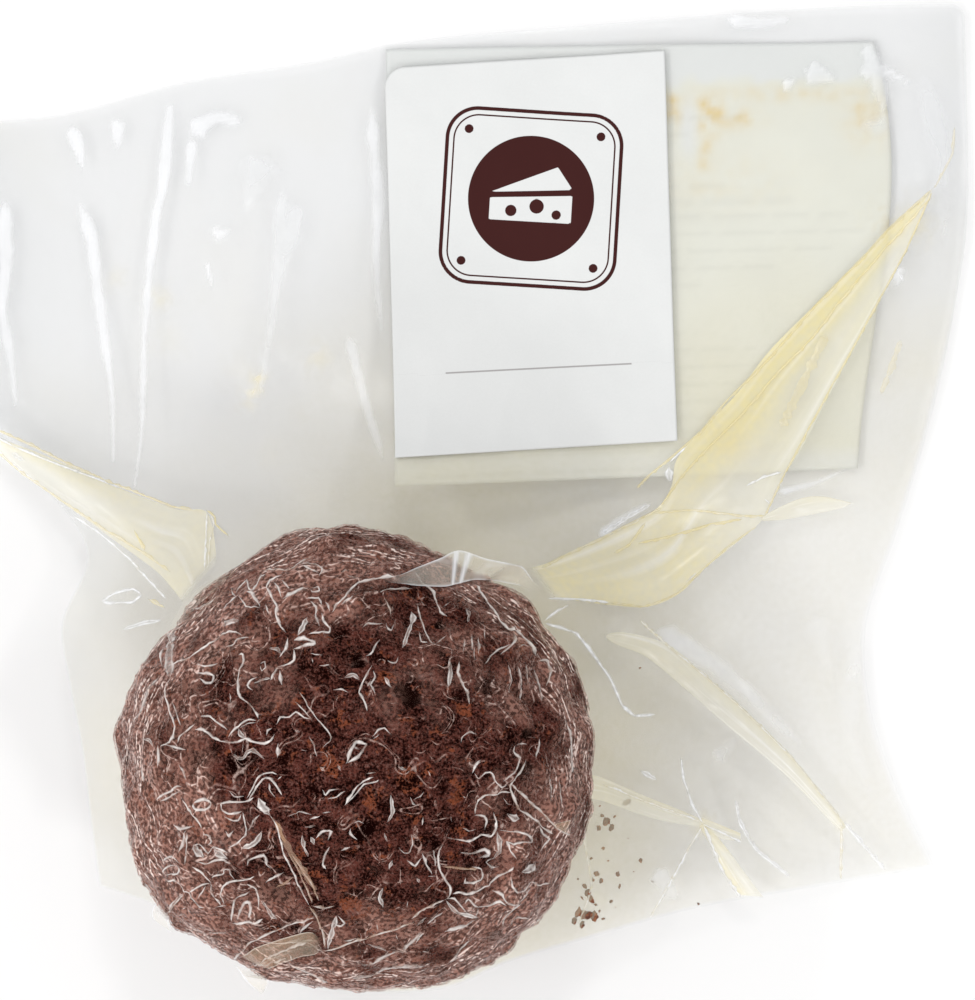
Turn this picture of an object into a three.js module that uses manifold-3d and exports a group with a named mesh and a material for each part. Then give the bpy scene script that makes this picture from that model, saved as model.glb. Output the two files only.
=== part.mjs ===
// A ball of cheese with a dark spiced crust, vacuum-packed in a clear bag with a label on each side.
// Millimetres, +Z up. The origin is the middle of the small flat on which the ball rests, and the
// bag lies round the ball: +Y runs from the ball to the labels, +X along the bag's width.
import * as THREE from "three";
import { mergeVertices } from "three/addons/utils/BufferGeometryUtils.js";
import Module from "manifold-3d";

const wasm = await Module();
wasm.setup();

// ---- Driving dimensions ------------------------------------------------------------------------
const ballRadius = 44; // out to the film that clings to the crust
const restingFlatRadius = 8;
const filmThickness = 0.8; // both sheets together, stouter than the real film
const clearance = 0.4; // between the ball, the bag and the labels
const floorGap = 0.3; // the least height of the bag's underside

// The bag leaves the ball a little under its middle and falls to the table.
const seamHeight = 31;
const flatHeight = 1.75; // middle of the bag where it lies flat
const fallLength = 18; // how far out the fall to the table reaches, towards the labels
const stiffLength = 42; // the same beside the ball's two short sides, where the bag stays up
const stiffDirection = THREE.MathUtils.degToRad(225); // from the ball to the corner of those sides
const filletHeight = 3.2; // half the bag's depth where its two sheets part to go round the ball
const filletReach = 3.5;
const waveHeight = 0.5; // slow waves of the part that lies on the table
const waveLength = 52;

// The bag's outline, side by side, each from its own corner to the next: x, y.
const bottomSide = [[-51, -26], [-39.5, -29.5], [-32.5, -34.5], [-22, -41], [-8, -45.3], [7, -46.3],
  [18, -45.3], [28.4, -41], [44, -37.2], [66, -31.9], [90, -28], [114, -24]];
const rightSide = [[114, -24], [106, -7.5], [100.9, 9], [100.4, 25], [106.5, 43.2], [112.6, 63], [118, 87],
  [120.8, 110], [120, 148.4]];
const topSide = [[-83.5, 124.5], [-61, 126.2], [-36, 132.9], [-12, 136.5], [9, 141], [40, 143.8], [67, 146],
  [93, 147.8], [120, 148.4]];
const leftSide = [[-51, -26], [-52.6, -14], [-54.5, 0.7], [-57.5, 14], [-59.3, 25], [-54.6, 38],
  [-60.5, 48.2], [-72.4, 59.7], [-80, 72], [-83, 98], [-83.5, 124.5]];
const bagCornerRadius = 4; // its top right corner
const bagColumns = 42;
const bagRows = 36;

// Folds where the film gathers off the ball, as ridges along a line of points x, y.
const folds = [
  { line: [[34, 30], [58, 33], [77, 46], [93, 70], [113, 107]], height: 3, halfWidth: 5.5 },
  { line: [[-33, 32], [-50, 47], [-72, 64]], height: 2.6, halfWidth: 5 },
  { line: [[52, 27], [67, 12], [84, -6], [96, -18]], height: 1.8, halfWidth: 4.5 },
  { line: [[44, -4], [67, -14], [77, -28]], height: 1.6, halfWidth: 4.5 },
  { line: [[-8, 47], [-22, 78], [-24, 104]], height: 1.2, halfWidth: 5 },
];

// Labels, by their corners: top left, top right, bottom right, bottom left.
const frontLabel = { corners: [[4, 135.5], [60, 139], [62.4, 61], [6.4, 57.5]], columns: 9, rows: 15 };
const backLabel = { corners: [[4.2, 139.5], [102, 141], [98.7, 55.5], [6.4, 51.8]], columns: 13, rows: 14 };
const backLabelBulge = 4.6; // how far its right edge bows out, most at two thirds of its height
const frontLabelCornerRadius = 4; // its top left corner
const labelThickness = 0.4;

// The ball was pressed by hand: it bulges and flattens towards these directions, seen from above.
const bulges = [
  { towards: 5, height: 0.8 },
  { towards: 62, height: -2.0 },
  { towards: 98, height: 0.5 },
  { towards: 137, height: -1.5 },
  { towards: 166, height: 1.3 },
  { towards: 211, height: 2.3 },
  { towards: 262, height: -1.0 },
  { towards: 303, height: 1.3 },
  { towards: 336, height: 0.8 },
];
const bulgeSpread = 18; // degrees
const crownFlattening = 0.6; // the top is lower by this much
const footEdge = -0.985; // the height, on a ball of radius 1, up to which its foot is smooth
const footBlend = -0.93; // and from which the crust is as rough as elsewhere
const ballDetail = 14;

// Crags of the crust, as three crossing ripples: ripples round the ball, and height.
const crags = [
  { turns: 13, height: 0.75, skew: 1.3 },
  { turns: 24, height: 0.5, skew: 1.7 },
];

// ---- Solids ------------------------------------------------------------------------------------
function asSolid(geometry) {
  const bare = geometry.clone();
  bare.deleteAttribute("normal");
  bare.deleteAttribute("uv");
  const merged = mergeVertices(bare, 1e-4);
  return new wasm.Manifold(
    new wasm.Mesh({
      numProp: 3,
      vertProperties: new Float32Array(merged.attributes.position.array),
      triVerts: new Uint32Array(merged.index.array),
    }),
  );
}

function asGeometry(solid) {
  const mesh = solid.getMesh();
  const geometry = new THREE.BufferGeometry();
  geometry.setAttribute("position", new THREE.BufferAttribute(mesh.vertProperties, 3));
  geometry.setIndex(new THREE.BufferAttribute(mesh.triVerts, 1));
  geometry.computeVertexNormals();
  return geometry;
}

// A closed slab between two sheets of columns by rows cells. place(u, v) gives x and y.
function slab(columns, rows, place, upper, lower) {
  const positions = [];
  for (const height of [upper, lower]) {
    for (let row = 0; row <= rows; row++) {
      for (let column = 0; column <= columns; column++) {
        const [x, y] = place(column / columns, row / rows);
        positions.push(x, y, height(x, y));
      }
    }
  }
  const sheetSize = (columns + 1) * (rows + 1);
  const at = (column, row) => row * (columns + 1) + column;
  const faces = [];
  for (let row = 0; row < rows; row++) {
    for (let column = 0; column < columns; column++) {
      const [a, b] = [at(column, row), at(column + 1, row)];
      const [c, d] = [at(column + 1, row + 1), at(column, row + 1)];
      faces.push(a, b, c, a, c, d);
      faces.push(a + sheetSize, c + sheetSize, b + sheetSize);
      faces.push(a + sheetSize, d + sheetSize, c + sheetSize);
    }
  }
  const rim = [];
  for (let column = 0; column < columns; column++) rim.push(at(column, 0));
  for (let row = 0; row < rows; row++) rim.push(at(columns, row));
  for (let column = columns; column > 0; column--) rim.push(at(column, rows));
  for (let row = rows; row > 0; row--) rim.push(at(0, row));
  rim.forEach((from, i) => {
    const to = rim[(i + 1) % rim.length];
    faces.push(from, from + sheetSize, to, to, from + sheetSize, to + sheetSize);
  });
  const geometry = new THREE.BufferGeometry();
  geometry.setAttribute("position", new THREE.Float32BufferAttribute(positions, 3));
  geometry.setIndex(faces);
  geometry.computeVertexNormals();
  return geometry;
}

// ---- Ball --------------------------------------------------------------------------------------
function bulgeAt(direction) {
  const heading = THREE.MathUtils.radToDeg(Math.atan2(direction.y, direction.x));
  const level = 1 - direction.z ** 2;
  return bulges.reduce((sum, { towards, height }) => {
    const away = Math.abs(THREE.MathUtils.euclideanModulo(heading - towards + 180, 360) - 180);
    return sum + level * height * Math.exp(-((away / bulgeSpread) ** 2));
  }, -crownFlattening * Math.max(0, direction.z) ** 4);
}

function cragsAt({ x, y, z }) {
  return crags.reduce((sum, { turns, height, skew }) => {
    const acrossX = Math.sin(turns * x + skew * Math.sin(turns * 0.7 * y + skew));
    const acrossY = Math.sin(turns * y + skew * Math.sin(turns * 0.8 * z + 2 * skew));
    const acrossZ = Math.sin(turns * z + skew * Math.sin(turns * 0.6 * x + 3 * skew));
    return sum + height * (acrossX * acrossY + acrossY * acrossZ + acrossZ * acrossX) / 2;
  }, 0);
}

function roundSolid(extra) {
  const geometry = new THREE.IcosahedronGeometry(ballRadius, ballDetail);
  const positions = geometry.attributes.position;
  const point = new THREE.Vector3();
  for (let i = 0; i < positions.count; i++) {
    point.fromBufferAttribute(positions, i).normalize();
    const roughness = THREE.MathUtils.smoothstep(point.z, footEdge, footBlend);
    point.multiplyScalar(ballRadius + roughness * (bulgeAt(point) + cragsAt(point)) + extra);
    positions.setXYZ(i, point.x, point.y, point.z);
  }
  return asSolid(geometry);
}

const ballCentreHeight = Math.sqrt(ballRadius ** 2 - restingFlatRadius ** 2);

function ballSolid() {
  const tableTop = new THREE.BoxGeometry(4 * ballRadius, 4 * ballRadius, 20);
  tableTop.translate(0, 0, -10);
  const raised = roundSolid(0).translate([0, 0, ballCentreHeight]);
  return raised.subtract(asSolid(tableTop));
}

// ---- Bag ---------------------------------------------------------------------------------------
const splineThrough = (points) => new THREE.SplineCurve(points.map(([x, y]) => new THREE.Vector2(x, y)));
const sides = {
  bottom: splineThrough(bottomSide),
  right: splineThrough(rightSide),
  top: splineThrough(topSide),
  left: splineThrough(leftSide),
};

// The bag's plan: its four sides blended across the middle, with u along the bottom and v up the left.
function bagPlan(u, v) {
  const [bottom, top] = [sides.bottom.getPoint(u), sides.top.getPoint(u)];
  const [left, right] = [sides.left.getPoint(v), sides.right.getPoint(v)];
  const between = bottom.clone().lerp(top, v).add(left.clone().lerp(right, u));
  const lowEdge = sides.bottom.getPoint(0).lerp(sides.bottom.getPoint(1), u);
  const highEdge = sides.top.getPoint(0).lerp(sides.top.getPoint(1), u);
  between.sub(lowEdge.lerp(highEdge, v));
  return roundedAt(topSide[topSide.length - 1], bagCornerRadius, [between.x, between.y], [1, 1]);
}

// Draws in what lies near a square corner, so that the corner becomes round. way points out of it.
function roundedAt([cornerX, cornerY], radius, [x, y], [wayX, wayY]) {
  const nearness = Math.max(0, 1 - Math.hypot(cornerX - x, cornerY - y) / radius);
  const pull = (1 - Math.SQRT1_2) * radius * nearness;
  return [x - wayX * pull, y - wayY * pull];
}

function distanceToLine([px, py], line) {
  let least = Infinity;
  for (let i = 0; i + 1 < line.length; i++) {
    const [[ax, ay], [bx, by]] = [line[i], line[i + 1]];
    const [dx, dy] = [bx - ax, by - ay];
    const share = THREE.MathUtils.clamp(((px - ax) * dx + (py - ay) * dy) / (dx * dx + dy * dy), 0, 1);
    least = Math.min(least, Math.hypot(px - ax - share * dx, py - ay - share * dy));
  }
  return least;
}

const seamRadius = Math.sqrt(ballRadius ** 2 - (ballCentreHeight - seamHeight) ** 2);
const beyondSeam = (x, y) => Math.max(0, Math.hypot(x, y) - seamRadius);

function bagMiddle(x, y) {
  const beside = Math.max(0, Math.cos(Math.atan2(y, x) - stiffDirection));
  const length = fallLength + (stiffLength - fallLength) * beside ** 1.5;
  const fallen = 1 - Math.exp(-beyondSeam(x, y) / length);
  const turn = (2 * Math.PI) / waveLength;
  const wave = Math.sin(turn * (x + 0.4 * y)) * Math.sin(turn * (y - 0.3 * x));
  return seamHeight + (flatHeight - seamHeight + waveHeight * (1 + wave)) * fallen;
}

const bagHalfDepth = (x, y) => filmThickness / 2 + filletHeight * Math.exp(-beyondSeam(x, y) / filletReach);

function foldHeight(x, y) {
  const raised = folds.map(({ line, height, halfWidth }) =>
    height * Math.exp(-((distanceToLine([x, y], line) / halfWidth) ** 2)));
  return Math.max(...raised);
}

const bagUpper = (x, y) => bagMiddle(x, y) + foldHeight(x, y) + bagHalfDepth(x, y);
const bagLower = (x, y) => Math.max(floorGap, bagMiddle(x, y) - bagHalfDepth(x, y));

function bagSolid() {
  const sheet = asSolid(slab(bagColumns, bagRows, bagPlan, bagUpper, bagLower));
  const hole = roundSolid(clearance).translate([0, 0, ballCentreHeight]);
  return sheet.subtract(hole);
}

// ---- Labels ------------------------------------------------------------------------------------
const labelPlan = ([topLeft, topRight, bottomRight, bottomLeft]) => (u, v) => [0, 1].map((axis) =>
  (1 - v) * ((1 - u) * bottomLeft[axis] + u * bottomRight[axis])
  + v * ((1 - u) * topLeft[axis] + u * topRight[axis]));

// The front label lies on the bag, and the back label under it.
const frontLower = (x, y) => bagUpper(x, y) + clearance;
const frontUpper = (x, y) => frontLower(x, y) + labelThickness;
const backUpper = (x, y) => bagLower(x, y) - clearance;
const backLower = (x, y) => backUpper(x, y) - labelThickness;

function frontLabelSolid() {
  const { corners, columns, rows } = frontLabel;
  const place = labelPlan(corners);
  const rounded = (u, v) => roundedAt(corners[0], frontLabelCornerRadius, place(u, v), [-1, 1]);
  return slab(columns, rows, rounded, frontUpper, frontLower);
}

function backLabelSolid() {
  const { corners, columns, rows } = backLabel;
  const place = labelPlan(corners);
  const bowed = (u, v) => {
    const [x, y] = place(u, v);
    return [x + backLabelBulge * u ** 3 * Math.sin(Math.PI * v ** 1.6), y];
  };
  return slab(columns, rows, bowed, backUpper, backLower);
}

// ---- The object --------------------------------------------------------------------------------
const part = new THREE.Group();

function add(name, geometry, colour, roughness) {
  const material = new THREE.MeshStandardMaterial({ color: colour, roughness, metalness: 0 });
  const mesh = new THREE.Mesh(geometry, material);
  mesh.name = name;
  part.add(mesh);
}

add("cheese_ball", asGeometry(ballSolid()), 0x4a241c, 0.45);
add("vacuum_bag", asGeometry(bagSolid()), 0xe6e5dc, 0.2);
add("front_label", frontLabelSolid(), 0xeceded, 0.6);
add("back_label", backLabelSolid(), 0xe9e6d4, 0.6);

export default part;
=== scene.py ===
"""Dresses a vacuum-packed ball of cheese: crust, clinging film, flat bag, folds, labels and crumbs."""

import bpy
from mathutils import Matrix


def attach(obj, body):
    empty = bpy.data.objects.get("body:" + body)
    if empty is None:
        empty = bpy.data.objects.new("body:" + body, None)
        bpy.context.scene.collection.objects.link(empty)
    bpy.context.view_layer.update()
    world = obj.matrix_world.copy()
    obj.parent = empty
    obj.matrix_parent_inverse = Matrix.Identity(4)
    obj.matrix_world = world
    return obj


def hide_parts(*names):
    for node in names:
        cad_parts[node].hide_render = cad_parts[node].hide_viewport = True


bl_info = {
    "name": "Vacuum-packed ball of cheese",
    "version": (1, 0, 0),
    "blender": (4, 5, 0),
    "location": "3D View > Sidebar > Cheese",
    "description": "Crust, film, folds, labels and crumbs for a ball of cheese in a clear bag",
    "category": "Add Mesh",
}

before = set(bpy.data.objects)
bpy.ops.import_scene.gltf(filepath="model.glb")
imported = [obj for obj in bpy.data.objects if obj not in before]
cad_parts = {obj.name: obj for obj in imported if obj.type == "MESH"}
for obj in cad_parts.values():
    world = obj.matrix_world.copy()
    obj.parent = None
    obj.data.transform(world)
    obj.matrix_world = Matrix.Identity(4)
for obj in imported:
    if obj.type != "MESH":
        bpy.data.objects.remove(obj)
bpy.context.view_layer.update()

import itertools
import math

import bpy
import numpy as np
from bpy.props import FloatProperty, FloatVectorProperty, IntProperty, PointerProperty

MM = 0.001
TINY = 1e-6
BODY = "root"

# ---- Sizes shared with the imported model, in millimetres ----------------------------------------
BALL_RADIUS = 44.0
RESTING_FLAT_RADIUS = 8.0
FILM_THICKNESS = 0.8
FLOOR_GAP = 0.3
SEAM_HEIGHT = 31.0
FLAT_HEIGHT = 1.75
FALL_LENGTH = 18.0
STIFF_LENGTH = 42.0
STIFF_DIRECTION = math.radians(225)
FILLET_HEIGHT = 3.2
FILLET_REACH = 3.5
WAVE_HEIGHT = 0.5
WAVE_LENGTH = 52.0
BAG_CORNER_RADIUS = 2.6
CENTRE_HEIGHT = math.sqrt(BALL_RADIUS**2 - RESTING_FLAT_RADIUS**2)
SEAM_RADIUS = math.sqrt(BALL_RADIUS**2 - (CENTRE_HEIGHT - SEAM_HEIGHT) ** 2)

# The bag's middling size, which turns shares of it into distances, and the gap left under its sheets.
BAG_WIDTH = 190.0
BAG_LENGTH = 175.0
SHEET_GAP = 0.08

# Corners of the bag's four sides.
BOTTOM_SIDE = [(-51, -26), (-39.5, -29.5), (-32.5, -34.5), (-22, -41), (-8, -45.3), (7, -46.3),
               (18, -45.3), (28.4, -41), (44, -37.2), (66, -31.9), (90, -28), (114, -24)]
RIGHT_SIDE = [(114, -24), (106, -7.5), (100.9, 9), (100.4, 25), (106.5, 43.2), (112.6, 63),
              (118, 87), (120.8, 110), (120, 148.4)]
TOP_SIDE = [(-83.5, 124.5), (-61, 126.2), (-36, 132.9), (-12, 136.5), (9, 141), (40, 143.8),
            (67, 146), (93, 147.8), (120, 148.4)]
LEFT_SIDE = [(-51, -26), (-52.6, -14), (-54.5, 0.7), (-57.5, 14), (-59.3, 25), (-54.6, 38),
             (-60.5, 48.2), (-72.4, 59.7), (-80, 72), (-83, 98), (-83.5, 124.5)]

# Ridges of the bag: line of points, height, half width.
RIDGES = [
    ([(34, 30), (58, 33), (77, 46), (93, 70), (113, 107)], 3.0, 5.5),
    ([(-33, 32), (-50, 47), (-72, 64)], 2.6, 5.0),
    ([(52, 27), (67, 12), (84, -6), (96, -18)], 1.8, 4.5),
    ([(44, -4), (67, -14), (77, -28)], 1.6, 4.5),
    ([(-8, 47), (-22, 78), (-24, 104)], 1.2, 5.0),
]

# Bulges and flats of the ball seen from above: direction in degrees, height.
BULGES = [(5, 0.8), (62, -2.0), (98, 0.5), (137, -1.5), (166, 1.3), (211, 2.3), (262, -1.0), (303, 1.3),
          (336, 0.8)]
BULGE_SPREAD = 18.0
CROWN_FLATTENING = 0.6
FOOT_EDGE = -0.985
FOOT_BLEND = -0.93
CRAGS = [(13, 0.75, 1.3), (24, 0.5, 1.7)]

FRONT_CORNERS = [(4, 135.5), (60, 139), (62.4, 61), (6.4, 57.5)]
BACK_CORNERS = [(4.2, 139.5), (102, 141), (98.7, 55.5), (6.4, 51.8)]
BACK_BULGE = 4.6
FRONT_CORNER_RADIUS = 4.0
PAPER_THICKNESS = 0.12

# ---- Places on the bag, in millimetres seen from above -----------------------------------------
# Film folded over and oiled: its two edges from the ball outwards, how far it stands up, how oily it is.
PLEATS = {
    "right": ([(32.2, 35.9), (36.5, 37), (44.5, 40.2), (53.1, 44.4), (58.5, 47.8), (61.2, 52), (62.4, 57.5),
               (68.1, 64), (74.5, 70.6), (81.1, 79.2), (92.3, 90.4), (99.9, 98), (105.5, 104), (110, 108),
               (113.6, 111.3)],
              [(36, 30.4), (42, 29.6), (48.9, 28.6), (56.3, 28.2), (62.7, 30.8), (67.1, 35.2), (73, 39.8),
               (79.3, 45.4), (82.1, 51.8), (86.9, 59.2), (94.3, 73.2), (100.4, 84.4), (107.7, 98),
               (111.4, 106), (113.6, 111.3)], 0.5, 1.0),
    "wing": ([(78.8, 45.6), (82.1, 47.5), (87.3, 49.6), (91.7, 49.9), (97.5, 48.6)],
             [(79, 45), (83, 45.2), (87.3, 45.9), (94.5, 47.4), (97.5, 48.6)], 0.3, 0.35),
    "left": ([(-27.6, 36.5), (-30.3, 46.5), (-36.2, 47.3), (-42.3, 49.3), (-47.8, 51.4), (-57.6, 55.7),
              (-65.9, 59.1), (-72.9, 61.8), (-79, 65.5)],
             [(-33.5, 29), (-39, 34.5), (-44, 38), (-50, 42), (-57.5, 47.2), (-62, 50.3), (-66.5, 54),
              (-72.9, 59.2), (-79, 65.5)], 0.5, 0.55),
    "lower_right": ([(47.4, 22.9), (52, 23.2), (60.5, 20.5), (67.5, 14.5), (74.3, 8.8), (85, -1.8),
                     (95, -14.2), (95.5, -16)],
                    [(47.3, 22.5), (50, 20.8), (56, 18.2), (64, 11.6), (72, 4.6), (84, -5.6), (94, -15.8),
                     (95.5, -16)], 0.3, 0.4),
    "star_left": ([(43, -3), (47, -4.6), (55.5, -8.8), (62, -11.6), (67.3, -14)],
                  [(43, -8.5), (46, -8.8), (55, -12.6), (62, -14.6), (67.3, -15.2)], 0.3, 0.4),
    "star_right": ([(66.2, -15), (68.6, -19), (71, -24), (74.4, -29.4)],
                   [(67.4, -14.4), (71.4, -19), (75.4, -24.4), (79.6, -30)], 0.3, 0.7),
    "star_side": ([(66.4, -13.4), (69.6, -14.6), (75, -17)], [(66.6, -15.6), (70.6, -17.8),
                   (75, -18.4)], 0.2, 0.6),
    "right_knot": ([(36.6, -10), (39.4, -9.6), (42.2, -9.3)], [(36.8, -10.4), (39.8, -12.6),
                    (42.6, -15)], 0.2, 0.5),
    "at_foot": ([(-23.5, -37.9), (-19.3, -33.9), (-17, -32.3), (-11.3, -29.8), (-7.4, -28.8),
                 (-5.2, -30.8)],
                [(-21.2, -39.6), (-16.6, -37.4), (-11.5, -34.9), (-9.2, -34), (-6.6, -33.4),
                 (-5.1, -31.2)], 0.7, 0.35),
}

# Film that bridges outside the ball: outer edge and its heights, inner edge on the ball, whiteness of its
# painted highlights, oiliness.
WEBS = {
    "shoulder": ([(4.5, 34.8), (8.7, 35.6), (11.6, 36.8), (15.8, 38.4), (19.4, 39.8), (24.3, 38.2),
                  (29.8, 37), (31.5, 36.3),
                  (33.3, 33.7), (35.5, 31)], [71, 68, 63, 58, 53, 47, 44, 42, 39, 36],
                 [(4.4, 34.4), (8.8, 34), (11.7, 33.6), (16.3, 33.3), (19, 33.7), (22, 34.3), (25.7, 34),
                  (28.2, 33.5),
                  (31.3, 32.9), (33.9, 31.5)], 0.16, 0.4),
    "left_arc": ([(-35.8, 22.4), (-35.3, 25.6), (-34.2, 28), (-31.6, 31.4), (-28, 33.8), (-22.6, 36.6)],
                 [43, 43, 42, 41, 42, 43],
                 [(-35.6, 22.2), (-33.8, 24.6), (-32, 26.8), (-29.6, 29.4), (-26.8, 31.9),
                  (-22.4, 36.2)], 0.05, 0.6),
    "foot_fin": ([(-23.4, -38.6), (-22.4, -40), (-21, -42.4), (-18.4, -44.8)], [44, 42, 40, 38],
                 [(-20, -38), (-17.5, -39.6), (-16.8, -42), (-18.4, -44.8)], 0.2, 0.4),
    "side_fin": ([(-37.2, -26.4), (-38.8, -28.2), (-38.9, -30.4), (-36.2, -32.6)], [43, 41, 39, 38],
                 [(-35.4, -27), (-35, -29.2), (-34.6, -31), (-34.4, -32.2)], 0.2, 0.4),
}
# Painted highlights along ribs of the webs: share of the way along.
RIBS = {"shoulder": (0.43, 0.49)}
FOLDED_ON_BALL = ("at_foot", "right_knot")

# Lines where the film is creased: points, width, whiteness (a painted highlight along the crease), oiliness.
CREASES = [
    # The large fold on the right.
    ([(113.3, 111.2), (105.1, 103.7), (100.1, 98.2), (90.1, 88), (81.1, 77.7), (72.1, 68.7), (67.1, 62.8),
      (61.1, 57.6), (56.7, 54), (54.3, 51.6)], 0.6, 0.1, 1.0),
    ([(64.3, 60), (62.6, 58.4), (60.9, 56.8)], 0.6, 0.9, 0.0),
    ([(112.6, 109.2), (104.1, 99.7), (95.6, 89.7), (89.1, 81.2), (83.1, 75.2), (75.1, 66), (67.9, 59),
      (62.7, 53.2), (59.1, 48)], 0.5, 0.1, 1.0),
    ([(113.1, 110.7), (108.1, 99.2), (102.1, 88.2), (96.1, 77.2), (87.6, 61.7), (83.1, 53.2), (79.7, 46)],
     0.5, 0.1, 1.0),
    ([(78.3, 44), (72.7, 40.2), (67.1, 35.2), (62.3, 30.8), (59.1, 29.4), (55.1, 28.2), (48.3, 29.2)],
     0.5, 0.1, 0.9),
    ([(48.3, 29.2), (43.1, 29.8), (36.3, 30.2)], 0.7, 0.95, 0.1),
    ([(59.1, 47.6), (54.3, 45.2), (47.1, 41.6), (39.1, 38), (35.1, 36)], 0.6, 0.2, 1.0),
    ([(79.7, 46), (75.1, 46.1), (65.5, 47.2), (57.5, 46.6)], 0.5, 0.15, 0.95),
    ([(75.1, 45.4), (69.1, 44.4), (60.7, 42), (54.3, 40.6)], 0.6, 0.05, 1.0),
    ([(55.9, 44.8), (52.7, 40.4), (49.5, 38.8)], 0.6, 0.1, 1.0),
    ([(92.1, 82.2), (87.1, 71.7), (83.1, 63.7)], 2.0, 0.0, 0.6),
    ([(60.7, 56), (60.7, 54.4), (60.9, 52.8)], 1.8, 0.9, 0.0),
    ([(47.1, 42.4), (50.3, 44.4), (52.7, 46), (57.1, 48.4)], 1.1, 0.8, 0.0),
    ([(75.9, 52), (79.5, 53.8), (83.1, 54.8)], 0.7, 0.85, 0.0),
    ([(79.6, 49.4), (81, 48.3)], 0.8, 0.9, 0.0),
    ([(106.6, 94.8), (107.5, 92.6)], 0.9, 0.9, 0.0),
    ([(65.9, 34.8), (64.9, 33.7), (63.9, 33)], 0.8, 0.8, 0.0),
    ([(107.1, 81.2), (105, 75), (103.1, 70.2)], 1.4, 0.0, 0.5),
    # The fold on the left.
    ([(-72.9, 63.2), (-65.7, 60), (-59.3, 56.8), (-51.3, 53.2), (-44.9, 50.8), (-37.7, 48), (-30.9, 46.8)],
     0.6, 0.1, 0.95),
    ([(-72.9, 61.6), (-67.3, 59), (-59.7, 56), (-52.1, 53.2), (-48.1, 51.6)], 0.6, 0.85, 0.0),
    ([(-72.9, 58.8), (-67.7, 54.4), (-61.7, 50.4), (-55.7, 46.4), (-50.5, 43.2), (-43.3, 39.2),
      (-36.9, 35.2)],
     0.6, 0.15, 0.9),
    ([(-57.3, 46), (-51.7, 42.4), (-45.7, 37.6), (-42.5, 34.4), (-37.7, 30)], 0.7, 0.7, 0.3),
    ([(-44.9, 43.6), (-43.6, 41.4), (-42.5, 39.2)], 0.7, 0.05, 1.0),
    ([(-30.5, 46.8), (-30.3, 41), (-30.1, 36)], 0.6, 0.6, 0.5),
    ([(-29.7, 46.4), (-28.9, 44.4), (-29.5, 41.2), (-29.3, 36)], 0.5, 0.4, 0.7),
    ([(-30.9, 47.4), (-28.9, 46), (-28.5, 44.4), (-25.7, 42)], 0.5, 0.0, 1.0),
    ([(-51.3, 29.2), (-48.9, 30.8), (-44.9, 31.8), (-42.9, 30.8)], 0.7, 0.85, 0.0),
    ([(-42.9, 30.8), (-44.9, 29.2), (-48.9, 29), (-51.1, 29.3)], 0.7, 0.85, 0.0),
    ([(-41.7, 30), (-39.5, 29), (-37.7, 28.4)], 0.7, 0.1, 0.9),
    ([(-46.5, 24), (-42.5, 25.2), (-38.5, 26)], 0.9, 0.85, 0.0),
    ([(-69.9, 58.6), (-68.5, 57.8), (-67.3, 57)], 1.8, 0.6, 0.0),
    # Lesser creases round the ball and in the lower right.
    ([(35.7, 25.5), (41.5, 23.6), (44, 20.7), (48.5, 14.5), (51, 9), (53.5, 7), (57.5, 7)], 0.8, 0.9, 0.0),
    ([(35.5, 26), (38.5, 28), (40.5, 29)], 0.6, 0.7, 0.1),
    ([(54.5, 25.6), (60.3, 20.4), (67.5, 14.5), (74.3, 8.6), (85.1, -2), (95.1, -14.4)], 0.6, 0.35, 0.7),
    ([(67.1, -14.6), (65.1, -11), (63.4, -6.2), (62.7, -1.4)], 0.7, 0.8, 0.1),
    ([(46.7, -5.6), (55.5, -9.8), (67, -14.4)], 0.5, 0.4, 0.6),
    ([(67.1, -14.8), (71.9, -17), (75, -18.8)], 0.6, 0.7, 0.3),
    ([(67.1, -15), (63.1, -22.2), (60.7, -26.6), (56.8, -33.6)], 0.7, 0.55, 0.5),
    ([(67.3, -15), (70.9, -23.8), (74.9, -29.8)], 0.8, 0.85, 0.1),
    ([(73.9, -10.2), (74.8, -15), (78.2, -20.4), (85.1, -26)], 0.9, 0.95, 0.0),
    ([(95.1, -14.6), (95.1, -26.6)], 0.6, 0.3, 0.7),
    ([(95.6, -15), (104, -24.6)], 0.9, 0.8, 0.0),
    ([(54.5, -3.8), (57.9, -5.8)], 1.1, 0.9, 0.0),
    ([(44, -10), (43.4, -17), (45, -26), (42.5, -34)], 0.5, 0.3, 0.6),
    ([(113.6, 111.3), (115.6, 114.6), (117.6, 118.6), (118, 124)], 0.6, 0.1, 0.6),
]
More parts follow.
